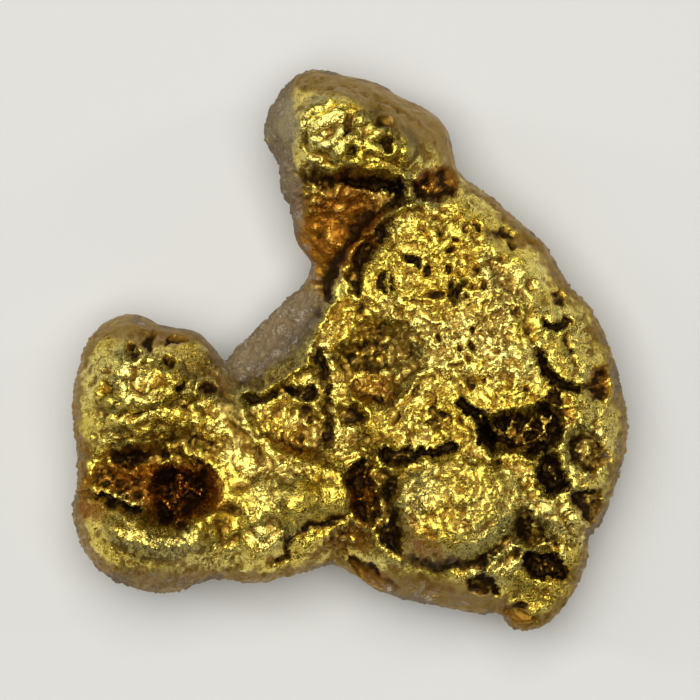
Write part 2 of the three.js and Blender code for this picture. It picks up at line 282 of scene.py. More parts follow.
@dataclass(frozen=True)
class GridCutter:
    """Cuts a square grid to an outline and draws its stepped edge on to the line."""

    outline: Outline
    pitch: float
    crowd_width: float
    rounds: int = 16

    def cut(self) -> Sheet:
        """Cuts the grid.

        A cell is kept when its middle is inside. The edge points slide to the nearest place on
        the line while every other point moves to the middle of its four neighbours, and last
        the cells near the rim are crowded towards it: at a share t of the crowded width, a
        point moves in to t (2 - t) times its distance.

        Returns:
            The finished sheet.
        """
        loop = self.outline.loop()
        low = loop.min(axis=0) - 2 * self.pitch
        count = np.ceil((loop.max(axis=0) + 2 * self.pitch - low) / self.pitch).astype(int)
        nx, ny = int(count[0]), int(count[1])
        xs = low[0] + np.arange(nx + 1) * self.pitch
        ys = low[1] + np.arange(ny + 1) * self.pitch
        places = np.stack(np.meshgrid(xs, ys, indexing="ij"), axis=2)
        middles = places[:-1, :-1] + self.pitch / 2
        keep = self.outline.contains(middles.reshape(-1, 2)).reshape(nx, ny)
        padded = np.pad(keep, 1).astype(int)
        around = padded[1:, 1:] + padded[:-1, 1:] + padded[1:, :-1] + padded[:-1, :-1]
        rim = (around > 0) & (around < 4)
        inner = around == 4
        sides = self.rim_sides(padded, ny + 1)
        places = self.fit(places, rim, inner, sides)

        number = np.arange((nx + 1) * (ny + 1)).reshape(nx + 1, ny + 1)
        cells = np.stack([number[:-1, :-1], number[1:, :-1], number[1:, 1:], number[:-1, 1:]],
                         axis=2)[keep]
        used = np.flatnonzero(around.ravel() > 0)
        renumber = np.full(number.size, -1)
        renumber[used] = np.arange(len(used))
        flat = places.reshape(-1, 2)[used]
        foot, inward = self.outline.nearest(flat)
        share = np.clip(inward / self.crowd_width, 0, 1)
        kept = np.where(share < 1, share * (2 - share), 1.0)
        flat = foot + (flat - foot) * kept[:, None]
        coarse, coarse_used, single = self.pair_up(keep, inner, number)
        return Sheet(flat, inward * kept, renumber[cells], rim.ravel()[used],
                     renumber[coarse], coarse_used, single, used, (nx + 1, ny + 1))

    @staticmethod
    def pair_up(keep: Array, inner: Array, number: Array) -> tuple[Array, Array, Array]:
        """Joins two by two cells into one face wherever none of their points is on the rim.

        A joined face has its four corners, and the middle of a side only where the cells beyond
        that side stay single, so that no gap opens between large faces and small ones.

        Args:
            keep: Which cells are kept.
            inner: Which points have cells all round.
            number: The points' numbers on the grid.

        Returns:
            The eight points round each joined face, which of them it uses, and which of the
            kept cells stay single.
        """
        bx, by = keep.shape[0] // 2, keep.shape[1] // 2
        joined = np.ones((bx, by), dtype=bool)
        for i, j in np.ndindex(3, 3):
            joined &= inner[i:i + 2 * bx:2, j:j + 2 * by:2][:bx, :by]
        ring = ((0, 0), (1, 0), (2, 0), (2, 1), (2, 2), (1, 2), (0, 2), (0, 1))
        points = np.stack([number[i:i + 2 * bx:2, j:j + 2 * by:2][:bx, :by] for i, j in ring],
                          axis=2)
        padded = np.pad(joined, 1)
        beyond = (padded[1:-1, :-2], padded[2:, 1:-1], padded[1:-1, 2:], padded[:-2, 1:-1])
        uses = np.ones((bx, by, 8), dtype=bool)
        for side, other in enumerate(beyond):
            uses[:, :, 2 * side + 1] = ~other
        single = keep.copy()
        for i, j in np.ndindex(2, 2):
            single[i:2 * bx:2, j:2 * by:2] &= ~joined
        return points[joined], uses[joined], single[keep]

    @staticmethod
    def rim_sides(padded: Array, row: int) -> Array:
        """The sides of kept cells that have no kept cell beyond them.

        Args:
            padded: Which cells are kept, with an empty cell all round.
            row: How many points the grid has along y.

        Returns:
            A pair of point numbers for each side.
        """
        across = np.argwhere(padded[1:-1, 1:] != padded[1:-1, :-1])
        along = np.argwhere(padded[1:, 1:-1] != padded[:-1, 1:-1])
        first = across[:, 0] * row + across[:, 1]
        second = along[:, 0] * row + along[:, 1]
        return np.concatenate([np.stack([first, first + row], axis=1),
                               np.stack([second, second + 1], axis=1)])

    def fit(self, places: Array, rim: Array, inner: Array, sides: Array) -> Array:
        """Slides the rim on to the outline and evens out the cells beside it.

        Args:
            places: The square grid's points.
            rim: Which points lie on the trimmed edge.
            inner: Which points have cells all round.
            sides: Pairs of points along the trimmed edge.

        Returns:
            The moved points.
        """
        flat_rim = np.flatnonzero(rim.ravel())
        for _ in range(self.rounds):
            mean = places.copy()
            mean[1:-1, 1:-1] = (places[2:, 1:-1] + places[:-2, 1:-1]
                                + places[1:-1, 2:] + places[1:-1, :-2]) / 4
            flat = places.reshape(-1, 2)
            total = np.zeros_like(flat)
            uses = np.zeros(len(flat))
            for here, there in ((0, 1), (1, 0)):
                np.add.at(total, sides[:, here], flat[sides[:, there]])
                np.add.at(uses, sides[:, here], 1)
            wanted = (total[flat_rim] / uses[flat_rim][:, None] + flat[flat_rim]) / 2
            moved = np.where(inner[..., None], mean, places).reshape(-1, 2)
            moved[flat_rim] = self.outline.nearest(wanted)[0]
            places = moved.reshape(places.shape)
        return places


# ---------------------------------------------------------------- forms of the surface

@dataclass(frozen=True)
class Mound:
    """A bulge, or a hollow when its rise is negative: square 2 is soft, 4 has a steep shoulder."""

    at: tuple[float, float]
    size: tuple[float, float]
    turn: float
    rise: float
    square: float = 2.0

    def reach(self, plan: Array) -> Array:
        """How many half-widths each place lies from the middle, along the turned ellipse.

        Args:
            plan: Places in plan, one row of x and y for each.

        Returns:
            The distance at each place, 1 on the ellipse.
        """
        angle = math.radians(self.turn)
        dx = plan[:, 0] - self.at[0]
        dy = plan[:, 1] - self.at[1]
        across = (dx * math.cos(angle) + dy * math.sin(angle)) / self.size[0]
        along = (dy * math.cos(angle) - dx * math.sin(angle)) / self.size[1]
        return np.hypot(across, along)

    def share(self, plan: Array) -> Array:
        """1 in the middle and 0 far off: e to the minus reach to the power square."""
        return np.exp(-(self.reach(plan) ** self.square))

    def height(self, plan: Array) -> Array:
        """The height that it adds at each place."""
        return self.rise * self.share(plan)


def mounds_height(mounds: tuple[Mound, ...], plan: Array) -> Array:
    """The heights of many mounds, added."""
    return sum(mound.height(plan) for mound in mounds)


@dataclass(frozen=True)
class Crease:
    """A ridge, or a groove when its rise is negative, along a line of points."""

    path: tuple[tuple[float, float], ...]
    width: float
    rise: float

    def height(self, plan: Array) -> Array:
        """The height that it adds: a Gaussian of the distance from the line, fading at the ends.

        Args:
            plan: Places in plan, one row of x and y for each.

        Returns:
            The height at each place.
        """
        points = np.array(self.path)
        start, step = points[:-1], np.diff(points, axis=0)
        length = np.linalg.norm(step, axis=1)
        run = np.concatenate([[0.0], np.cumsum(length)])
        gap = plan[:, None, :] - start[None]
        share = np.clip(np.sum(gap * step, axis=2) / length**2, 0, 1)
        off = np.linalg.norm(gap - share[..., None] * step, axis=2)
        best = np.argmin(off, axis=1)
        row = np.arange(len(plan))
        along = (run[best] + share[row, best] * length[best]) / run[-1]
        fade = ease(along, -0.02, 0.15) * ease(1 - along, -0.02, 0.15)
        return self.rise * (0.35 + 0.65 * fade) * np.exp(-((off[row, best] / self.width) ** 2))


@dataclass(frozen=True)
class Ring:
    """A small crater with a raised rim: its middle, half-widths, rim thickness and rise."""

    at: tuple[float, float]
    size: tuple[float, float]
    width: float
    rise: float

    def height(self, plan: Array) -> Array:
        """The height that it adds: a Gaussian of the distance from the ellipse, and a bowl in it.

        Args:
            plan: Places in plan, one row of x and y for each.

        Returns:
            The height at each place, negative in the bowl.
        """
        off = (Mound(self.at, self.size, 0, 1).reach(plan) - 1) * min(self.size)
        bowl = ease(-off, 0.0, 2 * self.width)
        return self.rise * (np.exp(-((off / self.width) ** 2)) - bowl)


@dataclass(frozen=True)
class Hollow:
    """A steep-sided hollow: the corners of its edge, its depth and the width of its wall."""

    corners: tuple[tuple[float, float], ...]
    depth: float
    wall: float
    gravel: float = 0.35

    def height(self, plan: Array) -> Array:
        """The height that it adds: a sunken floor, and a low bright lip round its edge.

        The signed distance to the rounded edge, positive inside, is eased across the wall for
        the floor, and a Gaussian of it just outside the wall makes the lip.

        Args:
            plan: Places in plan, one row of x and y for each.

        Returns:
            The height at each place, negative on the floor.
        """
        edge = Outline(self.corners, 4)
        loop = edge.loop()
        reach = self.wall + 0.5
        near = np.all((plan > loop.min(axis=0) - reach) & (plan < loop.max(axis=0) + reach), axis=1)
        found = np.zeros(len(plan))
        if near.any():
            inside = plan[near]
            signed = edge.nearest(inside)[1] * np.where(edge.contains(inside), 1, -1)
            lip = 0.1 * self.depth * np.exp(-(((signed + 0.5 * self.wall + 0.1) / 0.13) ** 2))
            found[near] = lip - self.depth * ease(signed, -0.5 * self.wall, 0.8 * self.wall)
        return found


@dataclass(frozen=True)
class TopForms:
    """The bulges, hollows and creases of the upper side, in millimetres."""

    mounds: tuple[Mound, ...] = (
        Mound((4.3, -0.7), (5.35, 6.8), 0, 1, 2),           # main dome
        Mound((3.65, -5.65), (2.2, 1.85), 0, 1.15, 4),      # lower bulge
        Mound((-0.05, 7.8), (2.5, 1.65), -14, 1.5, 2.6),    # head
        Mound((-7.15, -1.5), (2.65, 1.8), 0, 1.1, 2),       # lobe, upper knuckle
        Mound((-6.95, -6.6), (2.7, 1.55), 0, 1.1, 2),       # lobe, lower knuckle
        Mound((-2.15, -5.35), (2.65, 1.2), 4, 0.7, 2.4),    # neck
        Mound((7.2, 2.65), (1.55, 4.2), 32, -0.7, 2),       # right shoulder falling away
        Mound((2.2, -8.4), (3.4, 0.85), -10, -1.1, 2),      # lower rim
        Mound((6.95, -8.5), (1.65, 1.5), 0, -0.7, 3),       # nub
        Mound((-2.85, 0.45), (2.85, 1.05), 44, -1.7, 3),    # sloping bank
        Mound((-2.35, -2.65), (1.7, 1.2), -20, -0.6, 3),    # gusset
        Mound((0.05, -6.95), (1.2, 1.3), 0, -0.9, 2),       # saddle between bulge and neck
        Mound((-0.45, -2.85), (0.95, 2.15), 0, -0.5, 2),    # fall to the left of the body
        Mound((1.0, -0.3), (1.55, 1.55), 0, -1, 3),         # central hollow
        Mound((0.8, 0.7), (1.65, 0.55), -30, -0.35, 2),     # dip along its top edge
        Mound((0.9, -1.45), (1.45, 0.55), 0, -0.25, 3),     # foot of the central hollow
        Mound((-3.35, -6.85), (0.45, 0.55), 0, 0.2, 2),     # lemon spot on the neck
        Mound((-1.15, -5.35), (1.45, 0.8), -8, 0.25, 3),    # crest of the neck
        Mound((-4.35, -6.45), (0.65, 1.2), 0, -0.3, 2),     # olive dip on the neck
        Mound((-7.15, -3.5), (2.05, 0.4), 4, -0.2, 3),      # valley above the eye
        Mound((-1.05, 5.55), (0.8, 0.55), 0, 0.3, 3),       # nodules in the throat
        Mound((-7.85, -4.2), (0.45, 0.3), 20, 0.35, 2),     # nodule in the eye
        Mound((-7.3, -4.8), (0.3, 0.3), 0, 0.35, 2),        # second nodule in the eye
        Mound((0.2, 7.1), (0.3, 0.2), 0, -0.1, 2),          # pit on the head
        Mound((1.2, 7.3), (0.25, 0.3), 0, -0.08, 2),        # second pit on the head
        Mound((-0.35, 4.2), (1.45, 2.0), -28, -0.5, 3),     # throat
    )
    hollows: tuple[Hollow, ...] = (
        # throat plate
        Hollow(((-1.9, 6.35), (-0.55, 6.15), (0.8, 6.15), (1.95, 5.8), (1.7, 5.2), (0.85, 4.45),
                (0.05, 3.55), (-0.25, 2.8), (-0.7, 1.95), (-1.2, 2.2), (-1.45, 3.15),
                (-1.9, 4.05), (-2.0, 5.2)), 0.8, 0.5, 0.1),
        # cavity right of the throat
        Hollow(((2.2, 5.8), (2.65, 6.35), (3.55, 6.5), (3.8, 6.0), (3.45, 5.35), (2.7, 5.3)),
               0.8, 0.3),
        # crack under the head
        Hollow(((-0.35, 6.35), (0.8, 6.3), (1.8, 6.0), (1.7, 5.65), (0.65, 5.85), (-0.2, 5.95)),
               0.4, 0.2),
        # dark channel inside the ridge
        Hollow(((1.65, 4.85), (1.2, 4.0), (0.55, 3.15), (0.3, 2.05), (-0.05, 2.15), (0.05, 3.05),
                (0.65, 3.95), (1.2, 4.65)), 0.4, 0.2),
        # brown shelf
        Hollow(((4.8, 4.35), (5.35, 4.45), (6.45, 4.05), (6.95, 3.55), (6.05, 3.7), (5.3, 3.8)),
               0.35, 0.35),
        # upper lobe of the three-lobed pit
        Hollow(((7.2, 1.95), (7.45, 2.15), (7.65, 1.8), (7.45, 1.45), (7.2, 1.55)), 0.4, 0.12),
        # lower lobes
        Hollow(((6.9, 1.3), (7.15, 1.05), (7.5, 1.3), (7.85, 1.05), (7.5, 0.85), (7.2, 0.7),
                (6.95, 0.85)), 0.4, 0.12),
        # pit left of the middle
        Hollow(((-0.45, -2.05), (0.2, -2.0), (0.5, -2.3), (0.15, -2.55), (-0.35, -2.55)),
               0.35, 0.25),
        # horizontal slit
        Hollow(((1.05, -3.55), (1.8, -3.45), (2.7, -3.45), (3.55, -3.25), (3.65, -3.45),
                (2.8, -3.75), (1.85, -3.95), (1.2, -3.9)), 0.45, 0.12),
        # ringed pit
        Hollow(((2.85, -2.2), (3.35, -2.15), (3.55, -2.5), (3.3, -2.85), (2.95, -2.8)), 0.3, 0.2),
        # arm of the long cavity
        Hollow(((3.75, -1.85), (4.05, -1.7), (4.5, -2.0), (4.95, -2.65), (5.15, -3.45),
                (4.65, -3.35), (4.55, -2.7), (4.05, -2.2)), 0.85, 0.1),
        # long cavity
        Hollow(((4.8, -2.65), (5.35, -2.25), (6.2, -2.2), (7.05, -1.95), (7.35, -2.5),
                (7.2, -3.35), (6.55, -3.65), (5.8, -3.45), (5.3, -3.5), (4.85, -3.2)), 1.1, 0.3),
        # deep pit
        Hollow(((6.7, -3.85), (7.15, -3.75), (7.5, -4.2), (7.55, -4.85), (7.15, -5.05),
                (6.75, -4.65)), 1, 0.25),
        # pit with nodules
        Hollow(((7.8, -3.15), (8.2, -2.85), (8.85, -3.0), (9.1, -3.65), (8.95, -4.35),
                (8.35, -4.3), (7.85, -3.85)), 0.5, 0.3),
        # rusty pit at the edge
        Hollow(((8.45, -1.0), (8.85, -0.5), (9.2, -0.55), (9.2, -1.2), (8.95, -1.8), (8.5, -1.65)),
               0.6, 0.3),
        # notch at the right edge
        Hollow(((7.95, -5.05), (8.45, -4.9), (8.95, -4.95), (8.95, -5.65), (8.55, -6.2),
                (8.3, -5.8)), 0.8, 0.14),
        # gusset pocket
        Hollow(((-2.3, -1.3), (-1.8, -1.2), (-1.2, -1.35), (-1.15, -1.7), (-1.8, -1.7),
                (-2.2, -1.55)), 0.45, 0.2),
        # gusset pit
        Hollow(((-1.8, -2.05), (-1.35, -2.0), (-1.2, -2.35), (-1.5, -2.55)), 0.25, 0.15),
        # brown gap beside the gusset
        Hollow(((-1.2, 0.0), (-0.85, -0.05), (-0.65, -1.8), (-0.55, -3.2), (-0.85, -3.35),
                (-1.0, -1.8)), 0.3, 0.3),
        # rusty cavity beside the neck
        Hollow(((0.05, -4.0), (0.55, -4.0), (0.95, -4.65), (1.0, -5.8), (0.55, -6.05),
                (0.15, -5.65), (0.0, -4.8)), 0.8, 0.3),
        # valley left of the bulge
        Hollow(((1.2, -4.3), (1.65, -4.5), (1.65, -5.7), (1.95, -6.65), (1.7, -7.2),
                (1.2, -6.65), (1.0, -5.55)), 0.7, 0.4),
        # cracks on the lobe
        Hollow(((-7.3, 0.15), (-7.15, 0.55), (-6.95, 0.8), (-6.85, 0.3), (-7.05, -0.05)),
               0.4, 0.12),
        # second crack on the lobe
        Hollow(((-6.65, 0.2), (-6.2, 0.55), (-5.7, 0.45), (-6.15, 0.25)), 0.45, 0.08),
        # eye-shaped cavity
        Hollow(((-9.35, -4.7), (-8.8, -3.95), (-7.7, -3.55), (-6.25, -3.6), (-5.25, -4.0),
                (-4.8, -4.8), (-5.05, -5.65), (-5.7, -6.1), (-6.7, -6.2), (-7.55, -5.8),
                (-8.5, -5.25)), 0.9, 0.5),
        # bottom of the eye
        Hollow(((-6.85, -4.3), (-5.95, -4.2), (-5.3, -4.55), (-5.2, -5.35), (-5.7, -5.85),
                (-6.65, -5.95), (-7.0, -5.3)), 1.1, 0.35),
        # slit at the corner of the eye
        Hollow(((-9.65, -4.85), (-8.95, -5.0), (-8.05, -5.3), (-7.3, -5.65), (-7.35, -5.85),
                (-8.3, -5.55), (-9.05, -5.3), (-9.65, -5.15)), 0.55, 0.08),
        # dark valley on the nub
        Hollow(((5.95, -5.8), (6.35, -5.7), (7.0, -6.35), (7.5, -6.95), (7.05, -7.2),
                (6.5, -6.8), (5.85, -6.55)), 0.6, 0.4),
        # black cavity on the nub
        Hollow(((6.2, -7.35), (6.8, -7.05), (7.45, -7.35), (7.7, -8.0), (7.05, -8.1),
                (6.45, -7.95)), 1.1, 0.14),
        # pit with pale grains
        Hollow(((4.2, -8.15), (4.65, -7.95), (5.05, -8.05), (5.3, -8.45), (4.85, -8.65),
                (4.3, -8.55)), 0.5, 0.1),
        # hole in the spur
        Hollow(((5.5, -9.15), (5.85, -9.0), (6.45, -9.15), (6.7, -9.5), (6.15, -9.65),
                (5.65, -9.55)), 0.6, 0.1),
        # pocket under the neck
        Hollow(((0.05, -7.35), (0.55, -7.45), (1.2, -7.95), (1.7, -8.5), (1.2, -8.5),
                (0.45, -8.05)), 0.6, 0.12),
        # dark shelf in the central hollow
        Hollow(((-0.45, -0.05), (0.45, 0.15), (1.35, -0.05), (1.5, -0.55), (0.8, -0.8),
                (-0.2, -0.55)), 0.3, 0.45),
    )
    slopes: tuple[Mound, ...] = (
        Mound((2.5, 7.85), (2.15, 1.8), -30, 1.2, 2),       # right of the head
        Mound((7.5, 3.2), (1.8, 3.2), 30, 0.5, 2),          # right shoulder
        Mound((9.3, -2.5), (1.45, 4.3), 0, 0.4, 2),         # right side
        Mound((2.5, -8.95), (3.95, 1.05), 0, 0.9, 2),       # lower side
        Mound((-7.15, -8.55), (3.2, 0.9), 0, 0.4, 2),       # under the lobe
        Mound((-2.8, 0.65), (2.5, 1.45), 44, 0.8, 3),       # sloping bank
    )
    creases: tuple[Crease, ...] = (
        # ridge along the throat
        Crease(((3.05, 5.5), (1.95, 5.15), (0.95, 4.45), (0.05, 3.5), (-0.3, 2.5), (-0.7, 1.65),
                (-1.2, 0.7), (-1.8, -0.15)), 0.16, 0.5),
        # flange outside it
        Crease(((0.05, 3.8), (-0.2, 3.35), (-0.2, 2.85), (-0.55, 2.3)), 0.12, 0.3),
        # lip of the head
        Crease(((-1.95, 6.95), (-1.35, 6.55), (-0.5, 6.35), (0.05, 6.6), (0.95, 6.4),
                (1.7, 6.15), (2.2, 5.95), (2.65, 6.35), (3.35, 6.55)), 0.2, 0.3),
        # groove below the lip
        Crease(((-1.85, 6.35), (-1.15, 6.2), (-0.35, 6.05), (0.8, 6.05), (1.95, 5.8)), 0.16, -0.3),
        # rim of the lobe
        Crease(((-5.5, 0.55), (-4.95, 0.0), (-4.35, -0.95), (-3.95, -2.05), (-3.35, -3.0),
                (-2.45, -3.7), (-1.35, -4.05), (-0.35, -4.3)), 0.34, 0.45),
        # crest of the gusset
        Crease(((-4.0, -1.45), (-3.15, -1.35), (-2.35, -1.05), (-1.7, -0.5), (-1.3, -0.05)),
               0.14, 0.45),
        # groove below the crest
        Crease(((-4.0, -1.7), (-3.15, -1.7), (-2.3, -1.45)), 0.14, -0.35),
        # lower edge of the hollow
        Crease(((-0.15, -1.2), (0.2, -1.7), (0.7, -2.1), (1.35, -1.95), (2.0, -1.55),
                (2.35, -0.95), (2.95, -0.5)), 0.18, 0.35),
        # J-shaped crack
        Crease(((6.7, 0.0), (6.85, -0.55), (7.15, -1.0), (7.7, -1.3), (8.35, -1.2)), 0.13, -0.75),
        # crack below it
        Crease(((7.25, -1.35), (7.3, -2.05), (7.3, -2.95)), 0.14, -0.5),
        # loop round the slit
        Crease(((1.5, -3.2), (1.05, -3.35), (0.95, -3.8), (1.2, -4.15), (1.85, -4.2)), 0.13, 0.35),
        # upright ridges
        Crease(((0.45, -3.2), (0.55, -3.8), (0.5, -4.55)), 0.1, 0.35),
        # second upright ridge
        Crease(((0.8, -4.15), (0.95, -4.65), (0.95, -5.15)), 0.1, 0.4),
        # line under the neck
        Crease(((-3.15, -7.7), (-2.45, -7.2), (-1.95, -6.5), (-1.2, -6.05), (-0.5, -5.9),
                (0.15, -5.65)), 0.16, -0.35),
        # flange below the neck
        Crease(((-1.95, -7.5), (-1.55, -6.95), (-1.0, -6.55), (-0.2, -6.3)), 0.2, 0.3),
        # crest of the neck
        Crease(((-2.5, -5.35), (-1.8, -5.2), (-1.0, -5.15), (-0.15, -5.05)), 0.7, 0.3),
        # valley above the eye
        Crease(((-9.3, -3.9), (-8.3, -3.6), (-7.0, -3.4), (-5.8, -3.1), (-4.7, -3.3)), 0.35, -0.35),
        # lower lip of the eye
        Crease(((-9.05, -6.05), (-8.05, -6.35), (-6.95, -6.7), (-5.7, -6.55), (-4.8, -6.15)),
               0.4, 0.4),
        # foot of the bulge
        Crease(((1.8, -7.05), (2.5, -7.5), (3.5, -7.55), (4.55, -7.5), (5.35, -7.0), (5.85, -6.5)),
               0.38, -0.55),
        # rim loop on the nub
        Crease(((4.55, -8.05), (5.2, -7.35), (5.8, -6.85), (6.2, -6.95), (6.05, -7.5)),
               0.16, 0.35),
        # right rim of the nub
        Crease(((7.95, -5.65), (8.2, -6.3), (8.35, -7.0), (8.0, -7.8), (7.85, -8.55)), 0.22, 0.35),
        # groove in the lobe
        Crease(((-9.3, -1.95), (-8.2, -2.2), (-7.15, -2.0), (-5.85, -1.85), (-4.85, -2.2)),
               0.24, -0.3),
        # ridge on the shoulder
        Crease(((5.35, 3.8), (6.15, 3.35), (6.8, 2.45), (7.05, 1.95)), 0.4, 0.25),
        # crack at the shoulder
        Crease(((7.8, 0.7), (7.7, 0.15), (7.95, -0.35)), 0.08, -0.25),
        # ridge round the front of the head
        Crease(((-1.55, 6.8), (-1.8, 7.55), (-1.65, 8.3), (-1.0, 8.7), (-0.2, 8.8), (0.55, 8.55)),
               0.14, 0.28),
        # ridge across the head
        Crease(((-1.2, 7.15), (-0.55, 7.45), (0.0, 7.95), (0.65, 8.2), (1.45, 8.35)), 0.11, 0.22),
        # right ridge of the head
        Crease(((1.35, 8.5), (1.85, 8.0), (2.1, 7.3), (1.85, 6.45)), 0.14, 0.25),
        # ridge of the lower lip
        Crease(((-9.05, -6.05), (-7.85, -6.65), (-6.8, -7.05), (-5.5, -6.8), (-4.85, -6.15)),
               0.22, 0.25),
        # grooves along the crown of the head
        Crease(((-1.5, 9.1), (-0.2, 9.35), (1.2, 8.8), (2.3, 8.15), (3.0, 7.4)), 0.09, -0.2),
        Crease(((-0.8, 9.6), (0.5, 9.3), (1.8, 8.75), (2.7, 8.2)), 0.07, -0.14),
        Crease(((-2.25, 9.0), (-2.6, 8.1), (-2.3, 7.1), (-1.95, 6.4)), 0.1, -0.2),
        # fold on the neck
        Crease(((-4.55, -5.35), (-3.7, -6.15), (-3.15, -7.05)), 0.25, -0.2),
        # upright slits
        Crease(((1.2, 2.85), (1.05, 2.3), (1.3, 1.95)), 0.08, -0.3),
        # second slit
        Crease(((1.55, 2.8), (1.45, 2.05)), 0.06, -0.25),
        # three-cornered pit
        Crease(((3.45, 2.35), (3.7, 2.05), (4.0, 1.7)), 0.14, -0.35),
        # its second arm
        Crease(((4.0, 2.35), (3.75, 2.0)), 0.1, -0.3),
        # slit at the top of the body
        Crease(((1.85, 3.35), (2.15, 3.15), (2.5, 3.0)), 0.08, -0.25),
        # small pit
        Crease(((5.65, 1.7), (5.8, 1.3)), 0.1, -0.25),
    )


@dataclass(frozen=True)
class Craters:
    """The ringed craters on the lobe and on the front of the head."""

    rings: tuple[Ring, ...] = (
        Ring((-6.35, -0.45), (0.43, 0.36), 0.12, 0.3),
        Ring((-6.0, -1.25), (0.32, 0.29), 0.1, 0.26),
        Ring((-5.05, -1.35), (0.36, 0.32), 0.1, 0.26),
        Ring((-7.7, 0.0), (0.39, 0.32), 0.1, 0.26),
        Ring((-8.5, -1.35), (0.43, 0.32), 0.1, 0.24),
        Ring((0.05, 7.05), (0.46, 0.39), 0.12, 0.24),
        Ring((1.2, 7.3), (0.46, 0.46), 0.12, 0.24),
    )


@dataclass(frozen=True)
class UnderForms:
    """The bulges of the underside, whose tips are worn off flat where the nugget rests."""

    mounds: tuple[Mound, ...] = (
        Mound((-6.9, -4.6), (2.6, 2.9), 0, 1.25, 2.6),
        Mound((0.1, 7.5), (2.6, 2.0), -15, 1.35, 2.6),
        Mound((5.6, -4.3), (3.0, 3.2), 0, 1.25, 2.6),
        Mound((-0.6, -2.4), (2.6, 3.4), 0, -0.9),
        Mound((3.0, 2.4), (3.0, 2.2), -35, -0.5),
    )


class Pattern(Enum):
    """The kinds of fine relief that native gold shows."""

    CRINKLED = "crinkled"
    GRAINED = "grained"
    WORMY = "wormy"
    WORN = "worn"
    PITTED = "pitted"


@dataclass(frozen=True)
class Skin:
    """One kind of relief over some patches: its crest-to-crest size and its height."""

    pattern: Pattern
    size: float
    rise: float
    patches: tuple[Mound, ...]
    stretch: tuple[float, float, float] = (1.0, 1.0, 1.0)

    def weight(self, plan: Array) -> Array:
        """How much of this skin lies at each place, from 0 to 1."""
        return np.clip(sum(patch.rise * patch.share(plan) for patch in self.patches), 0, 1)

    def relief(self, points: Array) -> Array:
        """The relief at each point, from about -1 in the crevices to 1 on the crests.

        Crinkled gold is the size of smooth noise in three layers, which leaves puffed bumps with
        sharp creases between them. Grained gold is cells with domed tops, sunk where two cells
        meet. Wormy gold is the reverse of crinkled: rounded ridges run along the lines where
        smooth noise is nought. Pitted gold has a small pit in about one cell of three. Worn gold is
        plain layered noise.

        Args:
            points: Places in millimetres, one row of three for each.

        Returns:
            The relief, before its rise.
        """
        place = points / (self.size * np.array(self.stretch))
        if self.pattern is Pattern.CRINKLED:
            place = warped(place, 0.8, 21)
            puffs = [np.abs(smooth_noise(place * 2.0**k + 7 * k, 31 + k)) for k in range(3)]
            return sum(p * 0.5**k for k, p in enumerate(puffs)) * 2.4 - 1
        if self.pattern is Pattern.GRAINED:
            first, second, name = cell_noise(warped(place, 0.4, 41), 43)
            dome = 1 - first**2
            return (dome + 0.5 * (name - 0.5)) * ease(second - first, 0.0, 0.24) * 1.7 - 1
        if self.pattern is Pattern.WORMY:
            place = warped(place, 0.9, 51)
            lines = np.sqrt(smooth_noise(place, 61) ** 2 + 0.003)
            beads = np.abs(smooth_noise(place * 3.5 + 5, 63))
            return 1 - 3.4 * np.maximum(lines - 0.16, 0) + 0.5 * beads
        if self.pattern is Pattern.PITTED:
            first, _, name = cell_noise(warped(place, 1.2, 131), 133)
            return -ease(0.5 - first, 0.0, 0.35) * ease(0.5 - name, 0.0, 0.15)
        return layered(warped(place, 0.6, 71), 73, 3)


@dataclass(frozen=True)
class Skins:
    """The skins of the upper side; crinkled gold fills whatever the others leave."""

    ground: Skin = Skin(Pattern.CRINKLED, 0.3, 0.09, ())
    scattered: tuple[Skin, ...] = (
        Skin(Pattern.PITTED, 0.6, 0.28, (
            Mound((3.5, 2.6), (3.6, 3.2), 0, 1.0, 4),
            Mound((4.5, -2.5), (4.6, 2.4), 0, 0.8, 4),
            Mound((-7.0, -1.9), (2.4, 1.9), 0, 1.2, 4),
        )),
    )
    others: tuple[Skin, ...] = (
        Skin(Pattern.GRAINED, 0.33, 0.11, (
            Mound((3.9, -5.4), (2.1, 1.8), 0, 0.6, 4),
            Mound((-2.2, -2.9), (1.5, 1.1), -15, 1.0, 4),
            Mound((-7.0, -6.7), (2.4, 0.8), 0, 1.0, 4),
            Mound((-1.1, 5.6), (0.6, 0.6), 0, 1.0, 4),
            Mound((-0.1, -6.6), (1.2, 0.5), 0, 1.0, 4),
            Mound((6.6, -2.9), (0.9, 0.5), 0, 0.8, 4),
            Mound((-2.8, 0.65), (2.3, 0.9), 44, 1.0, 4),
        ), (0.85, 1.3, 1.0)),
        Skin(Pattern.WORMY, 0.72, 0.16, (
            Mound((0.0, 7.8), (2.1, 1.3), -14, 1.2, 4),
            Mound((-7.2, -1.6), (2.2, 1.2), 0, 1.1, 4),
            Mound((-3.9, -5.9), (1.2, 0.9), 0, 0.6, 4),
        )),
        Skin(Pattern.WORN, 0.7, 0.09, (
            Mound((2.0, 8.6), (3.2, 0.8), -28, 1.2, 4),
            Mound((3.4, 7.0), (0.9, 1.3), 30, 1.2, 4),
            Mound((6.2, 3.2), (0.8, 1.9), 30, 1.1, 4),
            Mound((-1.2, -5.2), (1.4, 0.7), 5, 1.2, 4),
            Mound((-3.8, -5.6), (1.0, 1.7), 0, 1.0, 4),
            Mound((-3.9, -2.4), (0.5, 1.8), 25, 1.1, 4),
            Mound((-0.35, 4.2), (1.4, 2.0), -28, 1.2, 4),
            Mound((2.2, -8.3), (3.4, 0.6), -10, 1.2, 4),
            Mound((-6.4, 0.6), (2.4, 0.6), -10, 1.2, 4),
        )),
    )


